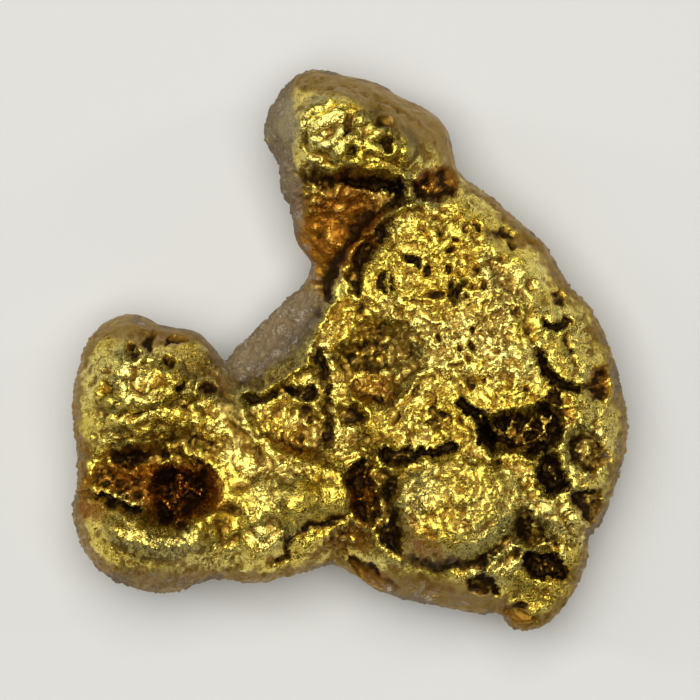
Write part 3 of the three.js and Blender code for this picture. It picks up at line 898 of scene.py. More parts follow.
@dataclass(frozen=True)
class StainsAndShade:
    """Where the upper side is dull bronze or brown, where rust and pale dust lie on it, and where
    shade and highlights are painted: bronze and dust along the rim and brown in hollows and on
    flanks are partly painted shade, brown with a negative rise paints highlights, rust is partly a
    painted reflection of gold on gold, and steep flanks get painted shade.

    The widths and spans are distances in from the outline, in millimetres.
    """

    # The dust band along the outline is partly painted shade.
    dust_width: float = 0.24
    # The bronze band in from the outline is partly painted shade.
    bronze_span: tuple[float, float] = (0.1, 0.7)
    # How far in from the outline the painted shade on steep flanks fades in.
    steep_span: tuple[float, float] = (0.7, 1.5)
    # Where the hollowness that paints shade in hollows and crevices fades in, in from the outline.
    hollow_span: tuple[float, float] = (0.15, 0.8)

    # Bronze patches: partly dull bronze, partly painted shade on rims and slopes that turn away
    # from the light.
    bronze_and_rim_shade: tuple[Mound, ...] = (
        Mound((1.8, 8.55), (2.5, 1.0), -35, 1, 4),          # top of the head
        Mound((-0.35, 9.5), (2.15, 0.5), -5, 1, 4),         # crown of the head
        Mound((7.5, 3.95), (0.85, 2.15), 32, 0.9, 4),       # right shoulder
        Mound((-6.6, 0.7), (2.15, 0.55), 5, 0.9, 4),        # top of the lobe
        Mound((2.15, -8.5), (3.55, 0.7), -8, 1, 4),         # bottom of the body
        Mound((-4.2, -2.15), (0.45, 1.8), 20, 0.7, 4),      # fold beside the gusset
        Mound((-2.8, 0.65), (2.5, 1.05), 44, 0.8, 4),       # sloping bank
        Mound((-7.15, -8.05), (2.85, 0.5), 0, 0.8, 4),      # bottom of the lobe
        Mound((-1.95, 5.0), (0.35, 1.8), 5, 0.8, 4),        # left of the throat
    )
    # Brown patches: partly brown stain, partly painted shade in hollows and on flanks; those with a
    # negative rise paint highlights.
    brown_and_shade: tuple[Mound, ...] = (
        Mound((0.85, 0.0), (1.55, 1.3), 0, 0.9, 3),         # central hollow
        Mound((-1.0, -1.8), (0.55, 2.15), 0, 0.9, 3),       # fall beside the gusset
        Mound((-7.15, -3.2), (2.5, 0.5), 0, 0.8, 3),        # band on the lobe
        Mound((-6.95, -4.85), (2.3, 1.35), 4, 0.7, 4),      # eye
        Mound((-0.35, 4.35), (1.55, 2.15), -28, 0.8, 4),    # throat
        Mound((6.05, -2.7), (1.55, 0.95), 0, 0.5, 3),       # long cavity
        Mound((6.8, -6.8), (1.2, 1.45), 20, 0.7, 3),        # nub valley
        Mound((1.0, -5.7), (0.8, 2.15), 0, 0.7, 3),         # left flank of the bulge
        Mound((0.0, -6.8), (1.8, 0.7), 0, 0.6, 3),          # below the neck
        Mound((-6.8, 0.35), (1.45, 0.5), 0, 0.6, 3),        # lobe cracks
        Mound((4.3, 1.8), (1.8, 1.05), 0, 0.25, 2),         # upper middle
        Mound((0.55, 7.15), (1.05, 0.7), 0, 0.4, 2),        # head pits
        Mound((6.05, -9.3), (0.85, 0.5), 0, 0.6, 3),        # spur
        Mound((8.45, -3.55), (0.7, 0.85), 0, 0.6, 3),       # pit with nodules
        Mound((5.05, 3.35), (1.3, 1.55), 30, 0.35, 3),      # upper right of the body
        Mound((-9.0, -1.35), (0.45, 0.95), 0, -0.9, 3),     # painted highlight, left of the lobe
        Mound((-6.15, -0.3), (0.85, 0.5), 0, -0.9, 3),      # painted highlight, front of the lobe
        Mound((-7.15, -6.95), (2.15, 0.45), 0, -0.5, 3),    # painted highlight, lower lip
        Mound((-3.35, -6.85), (0.5, 0.65), 0, -0.8, 2),     # painted highlight, neck spot
        Mound((-1.15, -5.35), (1.3, 0.65), -8, -0.6, 3),    # painted highlight, crest of the neck
        Mound((3.8, -5.35), (1.7, 1.5), 0, -1.0, 3),       # painted highlight, bulge
        Mound((8.2, 0.2), (0.85, 0.8), 0, -0.6, 3),         # painted highlight, right side
        Mound((5.35, -0.9), (1.8, 1.05), 0, -0.3, 3),       # painted highlight, top of the right side
        Mound((-0.35, 7.95), (1.55, 0.85), 0, -0.9, 3),     # painted highlight, head
        Mound((-4.45, -6.45), (0.8, 1.45), 0, 0.5, 3),      # olive neck
        Mound((0.0, 1.05), (0.5, 1.05), 30, -0.4, 3),       # painted highlight, wedge
        Mound((3.2, -7.45), (2.0, 0.3), -6, 1.3, 3),        # foot of the bulge
        Mound((1.5, -6.05), (0.3, 1.55), 6, 1.2, 3),        # left foot of the bulge
        Mound((-7.15, -3.65), (2.15, 0.3), 0, 0.8, 3),      # edge of the eye
        Mound((7.5, -2.15), (0.5, 1.45), 0, 0.7, 3),        # beside the long cavity
        Mound((0.05, 1.15), (0.8, 0.85), 0, 0.6, 3),        # upper left of the body
        Mound((3.2, 0.7), (2.15, 1.05), -20, 0.3, 2),       # amber middle
        Mound((7.5, 1.8), (1.45, 2.5), 20, 0.25, 2),        # right side of the body
        Mound((8.55, -4.3), (0.7, 1.8), 0, 0.3, 2),         # lower right
        Mound((-7.2, -7.6), (2.0, 0.4), 0, 0.6, 3),         # below the lower lip
    )

    # Rust patches: partly rust, partly a painted reflection of gold on gold in hollows.
    rust_and_reflection: tuple[Mound, ...] = (
        Mound((-0.35, 4.45), (1.7, 2.2), -28, 0.85, 4),     # throat
        Mound((3.0, 5.95), (0.85, 0.65), 0, 0.9, 4),        # cavity right of the throat
        Mound((-6.05, -5.0), (1.5, 1.2), 6, 1, 4),          # eye
        Mound((-4.85, -4.95), (0.45, 0.7), 0, 0.9, 2),      # right corner of the eye
        Mound((-8.0, -4.4), (1.1, 0.7), 0, 0.85, 3),        # left part of the eye
        Mound((2.8, -6.3), (0.9, 0.9), 0, 0.35, 2),         # left of the bulge
        Mound((3.0, -7.1), (0.9, 0.45), 0, 0.4, 2),         # foot of the bulge
        Mound((0.45, -5.0), (0.55, 1.15), 0, 1, 3),         # beside the neck
        Mound((2.2, -6.15), (0.65, 1.55), 10, 0.4, 2),      # on the lower bulge
        Mound((6.3, -3.05), (1.05, 0.55), 0, 0.6, 3),       # long cavity floor
        Mound((8.85, -1.15), (0.5, 0.7), 0, 0.8, 3),        # pit at the edge
        Mound((0.95, -1.35), (1.2, 0.7), 0, 0.6, 3),        # central hollow floor
        Mound((-0.05, -6.65), (1.2, 0.55), 0, 0.6, 3),      # below the neck
        Mound((-2.15, -3.5), (1.8, 0.45), -20, 0.45, 3),    # gusset rim
        Mound((-9.05, -5.65), (0.7, 0.4), 0, 1.0, 2),       # left end of the lobe
        Mound((6.95, -7.8), (0.85, 0.55), 0, 0.5, 3),       # nub cavity
        Mound((0.95, -7.95), (0.95, 0.45), -35, 0.5, 3),    # pocket under the neck
        Mound((3.2, 1.8), (1.8, 1.05), -20, 0.28, 2),       # amber on the body
        Mound((-1.8, -2.85), (0.7, 0.55), 0, 0.4, 2),       # amber on the gusset
        Mound((-9.5, -4.3), (0.3, 1.45), 0, 0.5, 2),        # end of the lobe
        Mound((7.7, -2.2), (0.45, 0.95), 0, 0.6, 2),        # beside the long cavity
    )
    # Dust patches: pale dust, and along the rim partly painted shade.
    dust_and_rim_shade: tuple[Mound, ...] = (
        Mound((-2.5, 8.2), (0.7, 1.85), 0, 0.9, 3),         # left of the head
        Mound((-2.05, 5.35), (0.45, 1.65), 8, 0.8, 3),      # left of the throat
        Mound((-2.8, 0.65), (2.5, 1.05), 44, 0.95, 4),      # sloping bank
        Mound((9.35, -3.2), (0.55, 4.3), -6, 0.35, 4),      # right edge
        Mound((2.85, -8.65), (3.55, 0.5), -8, 0.45, 4),     # lower rim
        Mound((-7.15, -8.2), (2.85, 0.5), 0, 0.4, 4),       # under the lobe
    )


def waves(x: Array, y: Array) -> Array:
    """Low waves that keep the surface from looking turned: sines times sines of x and y.

    Args:
        x: First coordinates in plan.
        y: Second coordinates.

    Returns:
        The height at each place.
    """
    broad = np.sin(0.9 * x + 0.7 * y) * np.cos(0.8 * y - 0.5 * x + 1.0)
    fine = np.sin(2.3 * x - 1.1 * y + 2.0) * np.sin(1.9 * y + 1.3 * x)
    return 0.1 * broad + 0.06 * fine


def edge_round(inward: Array, radius: float | Array) -> Array:
    """A quarter of an ellipse: 0 on the outline, 1 from one edge radius inwards."""
    return np.sqrt(1 - (1 - np.clip(inward / radius, 0, 1)) ** 2)


@dataclass(frozen=True)
class Body:
    """The closed body before any skin, and what the skin, the stains and the painted shade need to
    know of it.
    """

    points: Array
    faces: Array
    is_top: Array
    inward: Array
    sunk: Array
    loops: Array
    counts: Array
    sheet: Sheet


@dataclass
class Nugget:
    """The whole nugget: its sizes in millimetres, its mesh, and its stains and painted shade.

    The whole numbers given to the noises only choose among their patterns.
    """

    outline: Outline = field(default_factory=Outline)
    top: TopForms = field(default_factory=TopForms)
    craters: Craters = field(default_factory=Craters)
    under: UnderForms = field(default_factory=UnderForms)
    skins: Skins = field(default_factory=Skins)
    stains_and_shade: StainsAndShade = field(default_factory=StainsAndShade)
    pitch: float = 0.059
    crowd_width: float = 2.3
    rim_height: float = 3.0
    top_rise: float = 2.15
    under_drop: float = 2.3
    top_edge: float = 1.5
    under_edge: float = 1.9
    wander: float = 0.17
    wander_size: float = 0.7
    swell: float = 0.22
    swell_size: float = 1.2
    grit_size: float = 0.45
    lump: float = 0.18
    lump_size: float = 1.3
    lump_edge: float = 0.8
    lump_clear: float = 0.5
    skin_clear: float = 0.3
    rim_skin: float = 0.7
    rim_skin_width: float = 0.6
    under_skin: float = 0.75
    # The widths and depths of the hollowness, which sets tarnish and painted shade in hollows and
    # crevices.
    broad: float = 0.4
    broad_depth: float = 0.5
    narrow: float = 0.12
    narrow_depth: float = 0.07

    def rise(self, plan: Array) -> tuple[Array, Array]:
        """The upper side's rise before its edge is rounded.

        It is the sum of the mounds, low waves, a broad swell of noise, the hollows, which grit
        roughens, and the creases and craters. The hollows, creases and craters are looked up
        at places pushed about by noise, so that their edges wander.

        Args:
            plan: Places in plan, one row of x and y for each.

        Returns:
            The rise, and how deep each place lies in a hollow.
        """
        rough = np.column_stack([plan, np.zeros(len(plan))])
        rise = self.top_rise + mounds_height(self.top.mounds, plan) + waves(plan[:, 0], plan[:, 1])
        push = [layered(rough / self.wander_size, seed, 4) for seed in (81, 91)]
        near = plan + self.wander * np.stack(push, axis=1)
        rise = rise + self.swell * layered(rough / self.swell_size, 111, 3)
        grit = layered(rough / self.grit_size, 121, 3)
        sunk = np.zeros(len(plan))
        for hollow in self.top.hollows:
            added = hollow.height(near)
            rise = rise + added * (1 + hollow.gravel * grit)
            sunk = np.maximum(sunk, -added)
        for ridge in (*self.top.creases, *self.craters.rings):
            rise = rise + ridge.height(near)
        return rise, sunk

    def floor_height(self, sheet: Sheet) -> Array:
        """The underside's height above the table, never under it.

        It is the rim's height less the drop of its mounds and waves times the edge rounding,
        with lumps of noise that fade out at the rim and where it comes down to the table.

        Args:
            sheet: The trimmed grid.

        Returns:
            The height at each point of the sheet.
        """
        plan = sheet.places
        rough = np.column_stack([plan, np.zeros(len(plan))])
        drop = self.under_drop + mounds_height(self.under.mounds, plan)
        drop = drop + waves(plan[:, 1], plan[:, 0])
        low = self.rim_height - drop * edge_round(sheet.inward, self.under_edge)
        low = np.maximum(low, 0.0)
        lumps = ease(low, 0.0, self.lump_clear) * edge_round(sheet.inward, self.lump_edge)
        return low + self.lump * lumps * layered(rough / self.lump_size, 161, 3)

    def body(self) -> Body:
        """The closed body with its bulges and hollows, before any skin.

        Both sides use the same sheet and share its rim. The upper side's height is the rim's
        plus the rise times the edge rounding.

        Returns:
            The body.
        """
        sheet = GridCutter(self.outline, self.pitch, self.crowd_width).cut()
        plan = sheet.places
        rise, sunk = self.rise(plan)
        width = self.top_edge + mounds_height(self.top.slopes, plan)
        high = self.rim_height + rise * edge_round(sheet.inward, width) * ~sheet.on_rim
        inner = np.flatnonzero(~sheet.on_rim)
        beneath = np.arange(len(plan))
        beneath[inner] = len(plan) + np.arange(len(inner))
        upper = np.column_stack([plan, high])
        lower = np.column_stack([plan, self.floor_height(sheet)])[inner]
        corner = sheet.on_rim[sheet.cells]
        turn = corner[:, 0] & corner[:, 2]
        cells = np.where(turn[:, None], np.roll(sheet.cells, 1, axis=1), sheet.cells)
        # A cell with opposite corners on the rim is halved the other way, as both sides share them.
        halved = turn | (corner[:, 1] & corner[:, 3])
        halves = np.concatenate([cells[halved][:, [0, 1, 2]], cells[halved][:, [0, 2, 3]]])
        above = cells[~halved]
        below = beneath[cells[sheet.single & ~halved]][:, ::-1]
        wide = beneath[sheet.coarse][:, ::-1]
        loops = np.concatenate([above.ravel(), below.ravel(), wide[sheet.coarse_used[:, ::-1]],
                                halves.ravel(), beneath[halves][:, ::-1].ravel()])
        counts = np.concatenate([np.full(len(above) + len(below), 4),
                                 sheet.coarse_used.sum(axis=1), np.full(2 * len(halves), 3)])
        return Body(points=np.concatenate([upper, lower]),
                    faces=np.concatenate([cells, beneath[cells][:, ::-1]]),
                    is_top=np.concatenate([np.ones(len(upper)), np.zeros(len(lower))]),
                    inward=np.concatenate([sheet.inward, sheet.inward[inner]]),
                    sunk=np.concatenate([sunk, np.zeros(len(lower))]),
                    loops=loops, counts=counts, sheet=sheet)

    @staticmethod
    def normals(points: Array, faces: Array) -> Array:
        """The outward direction at each point: the sum of its faces' areas times their normals.

        Args:
            points: Places, one row of three for each.
            faces: Four point numbers for each face.

        Returns:
            A direction of length 1 for each point.
        """
        diagonal = np.cross(points[faces[:, 2]] - points[faces[:, 0]],
                            points[faces[:, 3]] - points[faces[:, 1]])
        total = np.zeros_like(points)
        for k in range(4):
            np.add.at(total, faces[:, k], diagonal)
        return total / np.maximum(np.linalg.norm(total, axis=1), 1e-12)[:, None]

    def skin_relief(self, points: Array) -> Array:
        """The skins' displacement: each by its weight, and the ground by what they leave.

        Args:
            points: Places, one row of three for each.

        Returns:
            The displacement at each point, in millimetres.
        """
        plan = points[:, :2]
        left = np.ones(len(points))
        move = np.zeros(len(points))
        for skin in self.skins.others:
            weight = skin.weight(plan)
            move += weight * skin.rise * skin.relief(points)
            left = np.clip(left - weight, 0, 1)
        move += left * self.skins.ground.rise * self.skins.ground.relief(points)
        for skin in self.skins.scattered:
            move += skin.weight(plan) * skin.rise * skin.relief(points)
        return move

    def hollowness(self, body: Body, heights: Array, width: float) -> Array:
        """How far each point lies below its surroundings, nought near the rim and underneath.

        Args:
            body: The body.
            heights: The upper side's finished heights.
            width: How far round the heights are averaged, in millimetres.

        Returns:
            The depth at each point of the body, in millimetres.
        """
        sheet = body.sheet
        apart = ease(sheet.inward, *self.stains_and_shade.hollow_span)
        depth = np.zeros(len(body.points))
        depth[:len(heights)] = apart * (sheet.blurred(heights, width / self.pitch) - heights)
        return depth

    def stain_and_shade_numbers(self, body: Body, points: Array, out: Array) -> dict[str, Array]:
        """The seven numbers that the finish reads at each point.

        Dust and bronze lie along the rim, in patches of noise, and where their mounds are, and
        along the rim they are partly painted shade; bronze is also more underneath. Brown is the
        sum of its mounds, and is always found deep in a hollow: partly stain, partly painted shade,
        and painted highlights where it is negative. Rust is the sum of its mounds, partly a painted
        reflection of gold on gold. Steep grows as the surface turns away from upright, for painted
        shade on steep flanks. Broad and narrow are how far each point lies below its surroundings,
        for tarnish and painted shade in hollows and crevices.

        Args:
            body: The body.
            points: The finished places.
            out: The body's outward directions.

        Returns:
            One array for each number, by its name.
        """
        plan = points[:, :2]
        is_top, stains_and_shade = body.is_top, self.stains_and_shade
        heights = points[:len(body.sheet.spots), 2]
        edge = body.inward * (3 - 2 * is_top) + 0.35 * layered(points / 0.6, 101, 4)
        thick = 0.1 + 0.7 * ease(layered(points / 1.6, 141, 3), -0.15, 0.35)
        # Dust along the rim, partly painted shade there, and where its mounds are.
        dust_and_rim_shade = (1 - ease(edge, 0.0, stains_and_shade.dust_width)) * thick
        dust_and_rim_shade = np.clip(dust_and_rim_shade + mounds_height(stains_and_shade.dust_and_rim_shade, plan), 0, 1)
        under = (1 - is_top) * (0.35 + 0.5 * layered(points / 1.1, 151, 3))
        # Bronze along the rim, partly painted shade there, more of it underneath and where its
        # mounds are.
        bronze_and_rim_shade = 1 - ease(edge, *stains_and_shade.bronze_span) + under + mounds_height(stains_and_shade.bronze_and_rim_shade, plan)
        # Brown from its mounds and deep in hollows: partly stain, partly painted shade; negative
        # mounds paint highlights.
        brown_and_shade = np.clip(mounds_height(stains_and_shade.brown_and_shade, plan), -1, 1) * is_top
        brown_and_shade = np.maximum(brown_and_shade, 1.2 * ease(body.sunk, 0.05, 0.6))
        # Rust from its mounds, partly a painted reflection of gold on gold.
        rust_and_reflection = np.clip(mounds_height(stains_and_shade.rust_and_reflection, plan), 0, 1) * is_top
        # Painted shade on flanks that turn away from upright.
        steep = ease(1 - out[:, 2], 0.12, 0.5) * ease(body.inward, *stains_and_shade.steep_span) * is_top
        # How far each point lies below its surroundings, for tarnish and painted shade in hollows
        # and crevices.
        broad = self.hollowness(body, heights, self.broad) / self.broad_depth
        narrow = self.hollowness(body, heights, self.narrow) / self.narrow_depth
        return {"broad": broad, "narrow": narrow, "steep": steep, "bronze_and_rim_shade": np.clip(bronze_and_rim_shade, 0, 1),
                "brown_and_shade": brown_and_shade, "dust_and_rim_shade": dust_and_rim_shade, "rust_and_reflection": rust_and_reflection}

    def build(self) -> bpy.types.Object:
        """Builds the nugget's mesh around the CAD solid's place.

        Returns:
            The nugget, with its stain and painted shade numbers on its points.
        """
        body = self.body()
        out = self.normals(body.points, body.faces)
        calm = self.under_skin + (1 - self.under_skin) * body.is_top
        calm = calm * (self.rim_skin + (1 - self.rim_skin)
                       * ease(body.inward, 0.0, self.rim_skin_width))
        calm = calm * ease(body.points[:, 2], 0.0, self.skin_clear)
        points = body.points + out * (self.skin_relief(body.points) * calm)[:, None]
        points[:, 2] = np.maximum(points[:, 2], 0.0)
        low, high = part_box("nugget")
        middle = (points.min(axis=0) + points.max(axis=0)) / 2
        shift = np.array([(low.x + high.x) / 2 / MM - middle[0],
                          (low.y + high.y) / 2 / MM - middle[1], low.z / MM])
        used, corners = np.unique(body.loops, return_inverse=True)
        mesh = bpy.data.meshes.new("nugget_skin")
        mesh.vertices.add(len(used))
        mesh.vertices.foreach_set("co", ((points[used] + shift) * MM).astype(np.float32).ravel())
        mesh.loops.add(len(corners))
        mesh.loops.foreach_set("vertex_index", corners.astype(np.int32).ravel())
        mesh.polygons.add(len(body.counts))
        starts = np.concatenate([[0], np.cumsum(body.counts)[:-1]])
        mesh.polygons.foreach_set("loop_start", starts.astype(np.int32))
        mesh.polygons.foreach_set("use_smooth", np.ones(len(body.counts), dtype=bool))
        for name, values in self.stain_and_shade_numbers(body, points, out).items():
            layer = mesh.attributes.new(name, "FLOAT", "POINT")
            layer.data.foreach_set("value", values[used].astype(np.float32))
        mesh.update(calc_edges=True)
        mesh.validate()
        thing = bpy.data.objects.new("nugget_skin", mesh)
        bpy.context.scene.collection.objects.link(thing)
        LOG.info("nugget: %d points, %d triangles", len(used), int((body.counts - 2).sum()))
        return thing


# ---------------------------------------------------------------- finishes

class Value:
    """A shader number: its operators add Math nodes to the tree it belongs to."""

    def __init__(self, tree: "Tree", socket: bpy.types.NodeSocket) -> None:
        """Keeps the tree and the socket."""
        self.tree = tree
        self.socket = socket

    def _math(self, operation: str, a: object, b: object) -> "Value":
        """Adds one Math node."""
        return self.tree.value("ShaderNodeMath", {"operation": operation}, {0: a, 1: b})

    def __add__(self, other: object) -> "Value":
        """The sum."""
        return self._math("ADD", self, other)

    def __sub__(self, other: object) -> "Value":
        """The difference."""
        return self._math("SUBTRACT", self, other)

    def __rsub__(self, other: object) -> "Value":
        """The difference from a plain number."""
        return self._math("SUBTRACT", other, self)

    def __mul__(self, other: object) -> "Value":
        """The product."""
        return self._math("MULTIPLY", self, other)

    def size(self) -> "Value":
        """The value without its sign."""
        return self._math("ABSOLUTE", self, 0.0)

    __radd__ = __add__
    __rmul__ = __mul__


class Tree:
    """A material's node tree, with one method for every kind of node."""

    def __init__(self, name: str) -> None:
        """Makes an empty material around the usual shader.

        Args:
            name: The material's name.
        """
        self.material = bpy.data.materials.new(name)
        self.material.use_nodes = True
        self.nodes = self.material.node_tree.nodes
        self.links = self.material.node_tree.links
        self.shader = self.nodes["Principled BSDF"]

    def node(self, kind: str, settings: dict, inputs: dict) -> bpy.types.Node:
        """Adds a node.

        Args:
            kind: The node's type.
            settings: Its settings, which are set first.
            inputs: Values or links of its sockets, by name or number.

        Returns:
            The node.
        """
        made = self.nodes.new(kind)
        for key, setting in settings.items():
            setattr(made, key, setting)
        for key, given in inputs.items():
            self.feed(made.inputs[key], given)
        return made

    def feed(self, socket: bpy.types.NodeSocket, given: object) -> None:
        """Links a value to a socket, or sets the socket to a plain number or colour.

        Args:
            socket: The socket to fill.
            given: A value, another node's socket, a number or a colour.
        """
        if isinstance(given, Value):
            self.links.new(given.socket, socket)
        elif isinstance(given, bpy.types.NodeSocket):
            self.links.new(given, socket)
        else:
            socket.default_value = given

    def value(self, kind: str, settings: dict, inputs: dict, output: object = 0) -> Value:
        """Adds a node and wraps one of its outputs."""
        return Value(self, self.node(kind, settings, inputs).outputs[output])

    def attribute(self, name: str) -> Value:
        """A number kept on the mesh's points."""
        return self.value("ShaderNodeAttribute", {"attribute_name": name}, {}, "Fac")

    def mix(self, share: object, first: object, second: object) -> Value:
        """A colour between two, by a share from 0 to 1."""
        return self.value("ShaderNodeMix", {"data_type": "RGBA"},
                          {0: share, 6: first, 7: second}, 2)

    def noise(self, place: Value, scale: float, detail: float) -> Value:
        """Smooth noise about nought, by its waves to the metre and its extra layers."""
        inputs = {"Vector": place, "Scale": scale, "Detail": detail, "Roughness": 0.6}
        return self.value("ShaderNodeTexNoise", {}, inputs) - 0.5

    def spread(self, given: Value, low: float, high: float) -> Value:
        """A smooth step from 0 at the low value to 1 at the high one."""
        return self.value("ShaderNodeMapRange", {"interpolation_type": "SMOOTHSTEP"},
                          {"Value": given, "From Min": low, "From Max": high})


Colour = tuple[float, float, float, float]


@dataclass(frozen=True)
class GoldFinish:
    """Native gold with its stains, painted shade and painted highlights, and a painted reflection
    of gold on gold in its hollows, as colours and roughnesses.
    """

    bright: Colour = (0.98, 0.74, 0.11, 1)
    pale: Colour = (0.98, 0.82, 0.22, 1)
    # Dull bronze, partly painted shade on the rim and on slopes.
    bronze_and_rim_shade: Colour = (0.37, 0.235, 0.052, 1)
    # Painted shade on steep flanks, dark olive.
    painted_flank_shade: Colour = (0.05, 0.038, 0.006, 1)
    # Brown tarnish in crevices and hollows, partly painted crevice shade.
    tarnish_and_crevice_shade: Colour = (0.30, 0.15, 0.018, 1)
    # Rust, partly a painted reflection of gold on gold in hollows.
    rust_and_reflection: Colour = (0.36, 0.125, 0.008, 1)
    # Painted shade, near black, deep in hollows.
    painted_hollow_shade: Colour = (0.030, 0.016, 0.006, 1)
    # Dust, partly painted shade along the rim.
    dust_and_rim_shade: Colour = (0.20, 0.145, 0.08, 1)
    chalk: Colour = (0.50, 0.44, 0.35, 1)
    bright_roughness: float = 0.18
    bronze_roughness: float = 0.40

    def dress(self, thing: bpy.types.Object) -> None:
        """Makes the material and gives it to the nugget.

        Args:
            thing: The nugget, whose points carry the seven numbers named below.
        """
        tree = Tree("native_gold")
        place = tree.value("ShaderNodeTexCoord", {}, {}, "Object")
        names = ("broad", "narrow", "steep", "bronze_and_rim_shade", "brown_and_shade", "dust_and_rim_shade", "rust_and_reflection")
        broad, narrow, steep, bronze_and_rim_shade, brown_and_shade, dust_and_rim_shade, rust_and_reflection = (tree.attribute(n) for n in names)
        patches = tree.noise(place, 420.0, 2.0)
        mottle = tree.noise(place, 2600.0, 3.0)
        fine = tree.noise(place, 15000.0, 2.0)
        wiggle = tree.noise(place, 6200.0, 2.0)
        vein = 1 - tree.spread(wiggle.size(), 0.01, 0.07)
        vein = vein * tree.spread(mottle, -0.12, 0.1)
        # Bronze, partly painted shade on the rim and slopes.
        bronze_and_rim_shade_share = tree.spread(bronze_and_rim_shade + mottle * 0.5, 0.1, 0.9)
        colour = tree.mix(tree.spread(patches, -0.1, 0.15), self.bright, self.pale)
        colour = tree.mix(bronze_and_rim_shade_share, colour, self.bronze_and_rim_shade)
        # Tarnish from hollowness, brown and mottle: partly tarnish, partly painted crevice shade.
        tarnish_and_shade_share = tree.spread(narrow + broad * 0.5 + brown_and_shade * 0.6 + mottle * 1.1, -0.1, 0.5)
        colour = tree.mix(tarnish_and_shade_share * 0.85, colour, self.tarnish_and_crevice_shade)
        # Tarnish along the bump's veins: partly painted shade in its grooves.
        colour = tree.mix(vein * (0.9 - bronze_and_rim_shade_share * 0.6), colour, self.tarnish_and_crevice_shade)
        # Painted shade on steep flanks.
        shaded = tree.spread(steep + mottle * 0.4, 0.1, 0.7)
        colour = tree.mix(shaded * 0.55, colour, self.painted_flank_shade)
        # Rust, partly a painted reflection of gold on gold.
        rust_and_reflection_share = tree.spread(rust_and_reflection + mottle * 0.9, 0.25, 0.9)
        colour = tree.mix(rust_and_reflection_share * 0.85, colour, self.rust_and_reflection)
        # Painted shade, near black, deep in hollows.
        painted_hollow_shade_share = tree.spread(broad + narrow * 0.5 + brown_and_shade * 0.3 + mottle * 0.6, 0.45, 1.3)
        colour = tree.mix(painted_hollow_shade_share * 0.95, colour, self.painted_hollow_shade)
        # Dust, partly painted shade along the rim.
        dust_and_rim_shade_share = tree.spread(dust_and_rim_shade + mottle * 0.8, 0.2, 0.75)
        grit = tree.spread(mottle + fine * 0.8, 0.02, 0.3)
        colour = tree.mix(dust_and_rim_shade_share * 0.85, colour, tree.mix(grit, self.dust_and_rim_shade, self.chalk))
        tree.feed(tree.shader.inputs["Base Color"], colour)
        rough = self.bright_roughness + bronze_and_rim_shade_share * (self.bronze_roughness - self.bright_roughness)
        rough = rough + dust_and_rim_shade_share * 0.3 + tarnish_and_shade_share * 0.15 + painted_hollow_shade_share * 0.15 + rust_and_reflection_share * 0.05
        tree.feed(tree.shader.inputs["Roughness"], rough)
        tree.feed(tree.shader.inputs["Metallic"], 1 - dust_and_rim_shade_share * 0.7)
        bump = tree.node("ShaderNodeBump", {}, {"Strength": 0.8, "Distance": 0.00004,
                                                "Height": fine - vein})
        tree.feed(tree.shader.inputs["Normal"], bump.outputs[0])
        thing.data.materials.append(tree.material)


@dataclass(frozen=True)
class Lamp:
    """One rectangular lamp, aimed at the nugget: metres and watts."""

    name: str
    place: tuple[float, float, float]
    size: tuple[float, float]
    power: float
    colour: tuple[float, float, float] = (1.0, 1.0, 1.0)

    def hang(self, aim_height: float) -> None:
        """Hangs the lamp.

        Args:
            aim_height: How high above the floor the place that it points at lies.
        """
        lamp = bpy.data.lights.new(self.name, "AREA")
        lamp.shape = "RECTANGLE"
        lamp.size, lamp.size_y = self.size
        lamp.energy = self.power
        lamp.color = self.colour
        thing = bpy.data.objects.new(self.name, lamp)
        thing.location = self.place
        aim = Vector((0, 0, aim_height)) - Vector(self.place)
        thing.rotation_euler = aim.to_track_quat("-Z", "Y").to_euler()
        bpy.context.scene.collection.objects.link(thing)


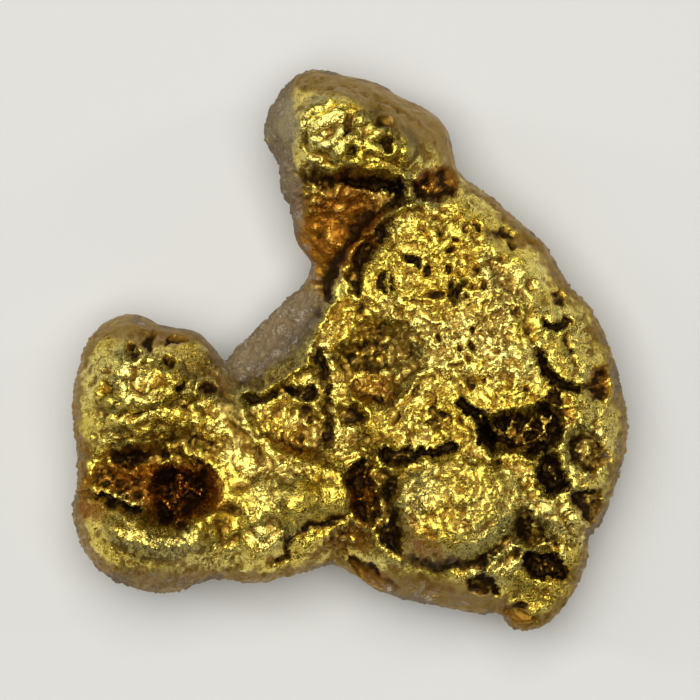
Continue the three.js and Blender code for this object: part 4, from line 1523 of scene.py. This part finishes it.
@dataclass(frozen=True)
class Studio:
    """The pale floor, the soft lights and the camera that looks straight down."""

    view_width: float = 0.025
    camera_height: float = 0.25
    focus_height: float = 0.003
    sensor: float = 36.0
    nearest_seen: float = 0.001
    floor_half: float = 0.4
    floor_colour: Colour = (0.63, 0.62, 0.605, 1)
    floor_roughness: float = 0.9
    room_colour: Colour = (0.5, 0.55, 0.55, 1)
    room_strength: float = 0.12
    lamps: tuple[Lamp, ...] = (
        Lamp("overhead", (-0.02, 0.04, 0.42), (0.36, 0.36), 2.25, (1.0, 1.0, 0.97)),
        Lamp("left_strip", (-0.4, 0.1, 0.26), (0.06, 0.3), 0.3),
        Lamp("right_strip", (0.4, 0.15, 0.25), (0.06, 0.3), 0.2),
    )

    def floor(self) -> None:
        """Lays the pale floor."""
        mesh = bpy.data.meshes.new("floor")
        half = self.floor_half
        mesh.from_pydata([(-half, -half, 0), (half, -half, 0), (half, half, 0), (-half, half, 0)],
                         [], [(0, 1, 2, 3)])
        thing = bpy.data.objects.new("floor", mesh)
        bpy.context.scene.collection.objects.link(thing)
        material = bpy.data.materials.new("floor")
        material.use_nodes = True
        shader = material.node_tree.nodes["Principled BSDF"]
        shader.inputs["Base Color"].default_value = self.floor_colour
        shader.inputs["Roughness"].default_value = self.floor_roughness
        mesh.materials.append(material)

    def camera(self) -> None:
        """Sets the camera above the nugget, looking straight down with +Y upwards."""
        data = bpy.data.cameras.new("camera")
        distance = self.camera_height - self.focus_height
        data.sensor_width = self.sensor
        data.lens = self.sensor * distance / self.view_width
        data.clip_start = self.nearest_seen
        thing = bpy.data.objects.new("camera", data)
        thing.location = (0, 0, self.camera_height)
        bpy.context.scene.collection.objects.link(thing)
        bpy.context.scene.camera = thing

    def build(self) -> None:
        """Builds the whole studio."""
        self.floor()
        self.camera()
        for lamp in self.lamps:
            lamp.hang(self.focus_height)
        world = bpy.data.worlds.new("studio")
        world.use_nodes = True
        background = world.node_tree.nodes["Background"]
        background.inputs["Color"].default_value = self.room_colour
        background.inputs["Strength"].default_value = self.room_strength
        bpy.context.scene.world = world
        bpy.context.scene.view_settings.view_transform = "Standard"


def main() -> None:
    """Builds the nugget and the studio around it."""
    logging.basicConfig(level=logging.INFO, format="%(name)s: %(message)s")
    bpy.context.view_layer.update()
    nugget = Nugget().build()
    GoldFinish().dress(nugget)
    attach(nugget, "root")
    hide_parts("nugget")
    Studio().build()


if __name__ == "__main__":
    main()
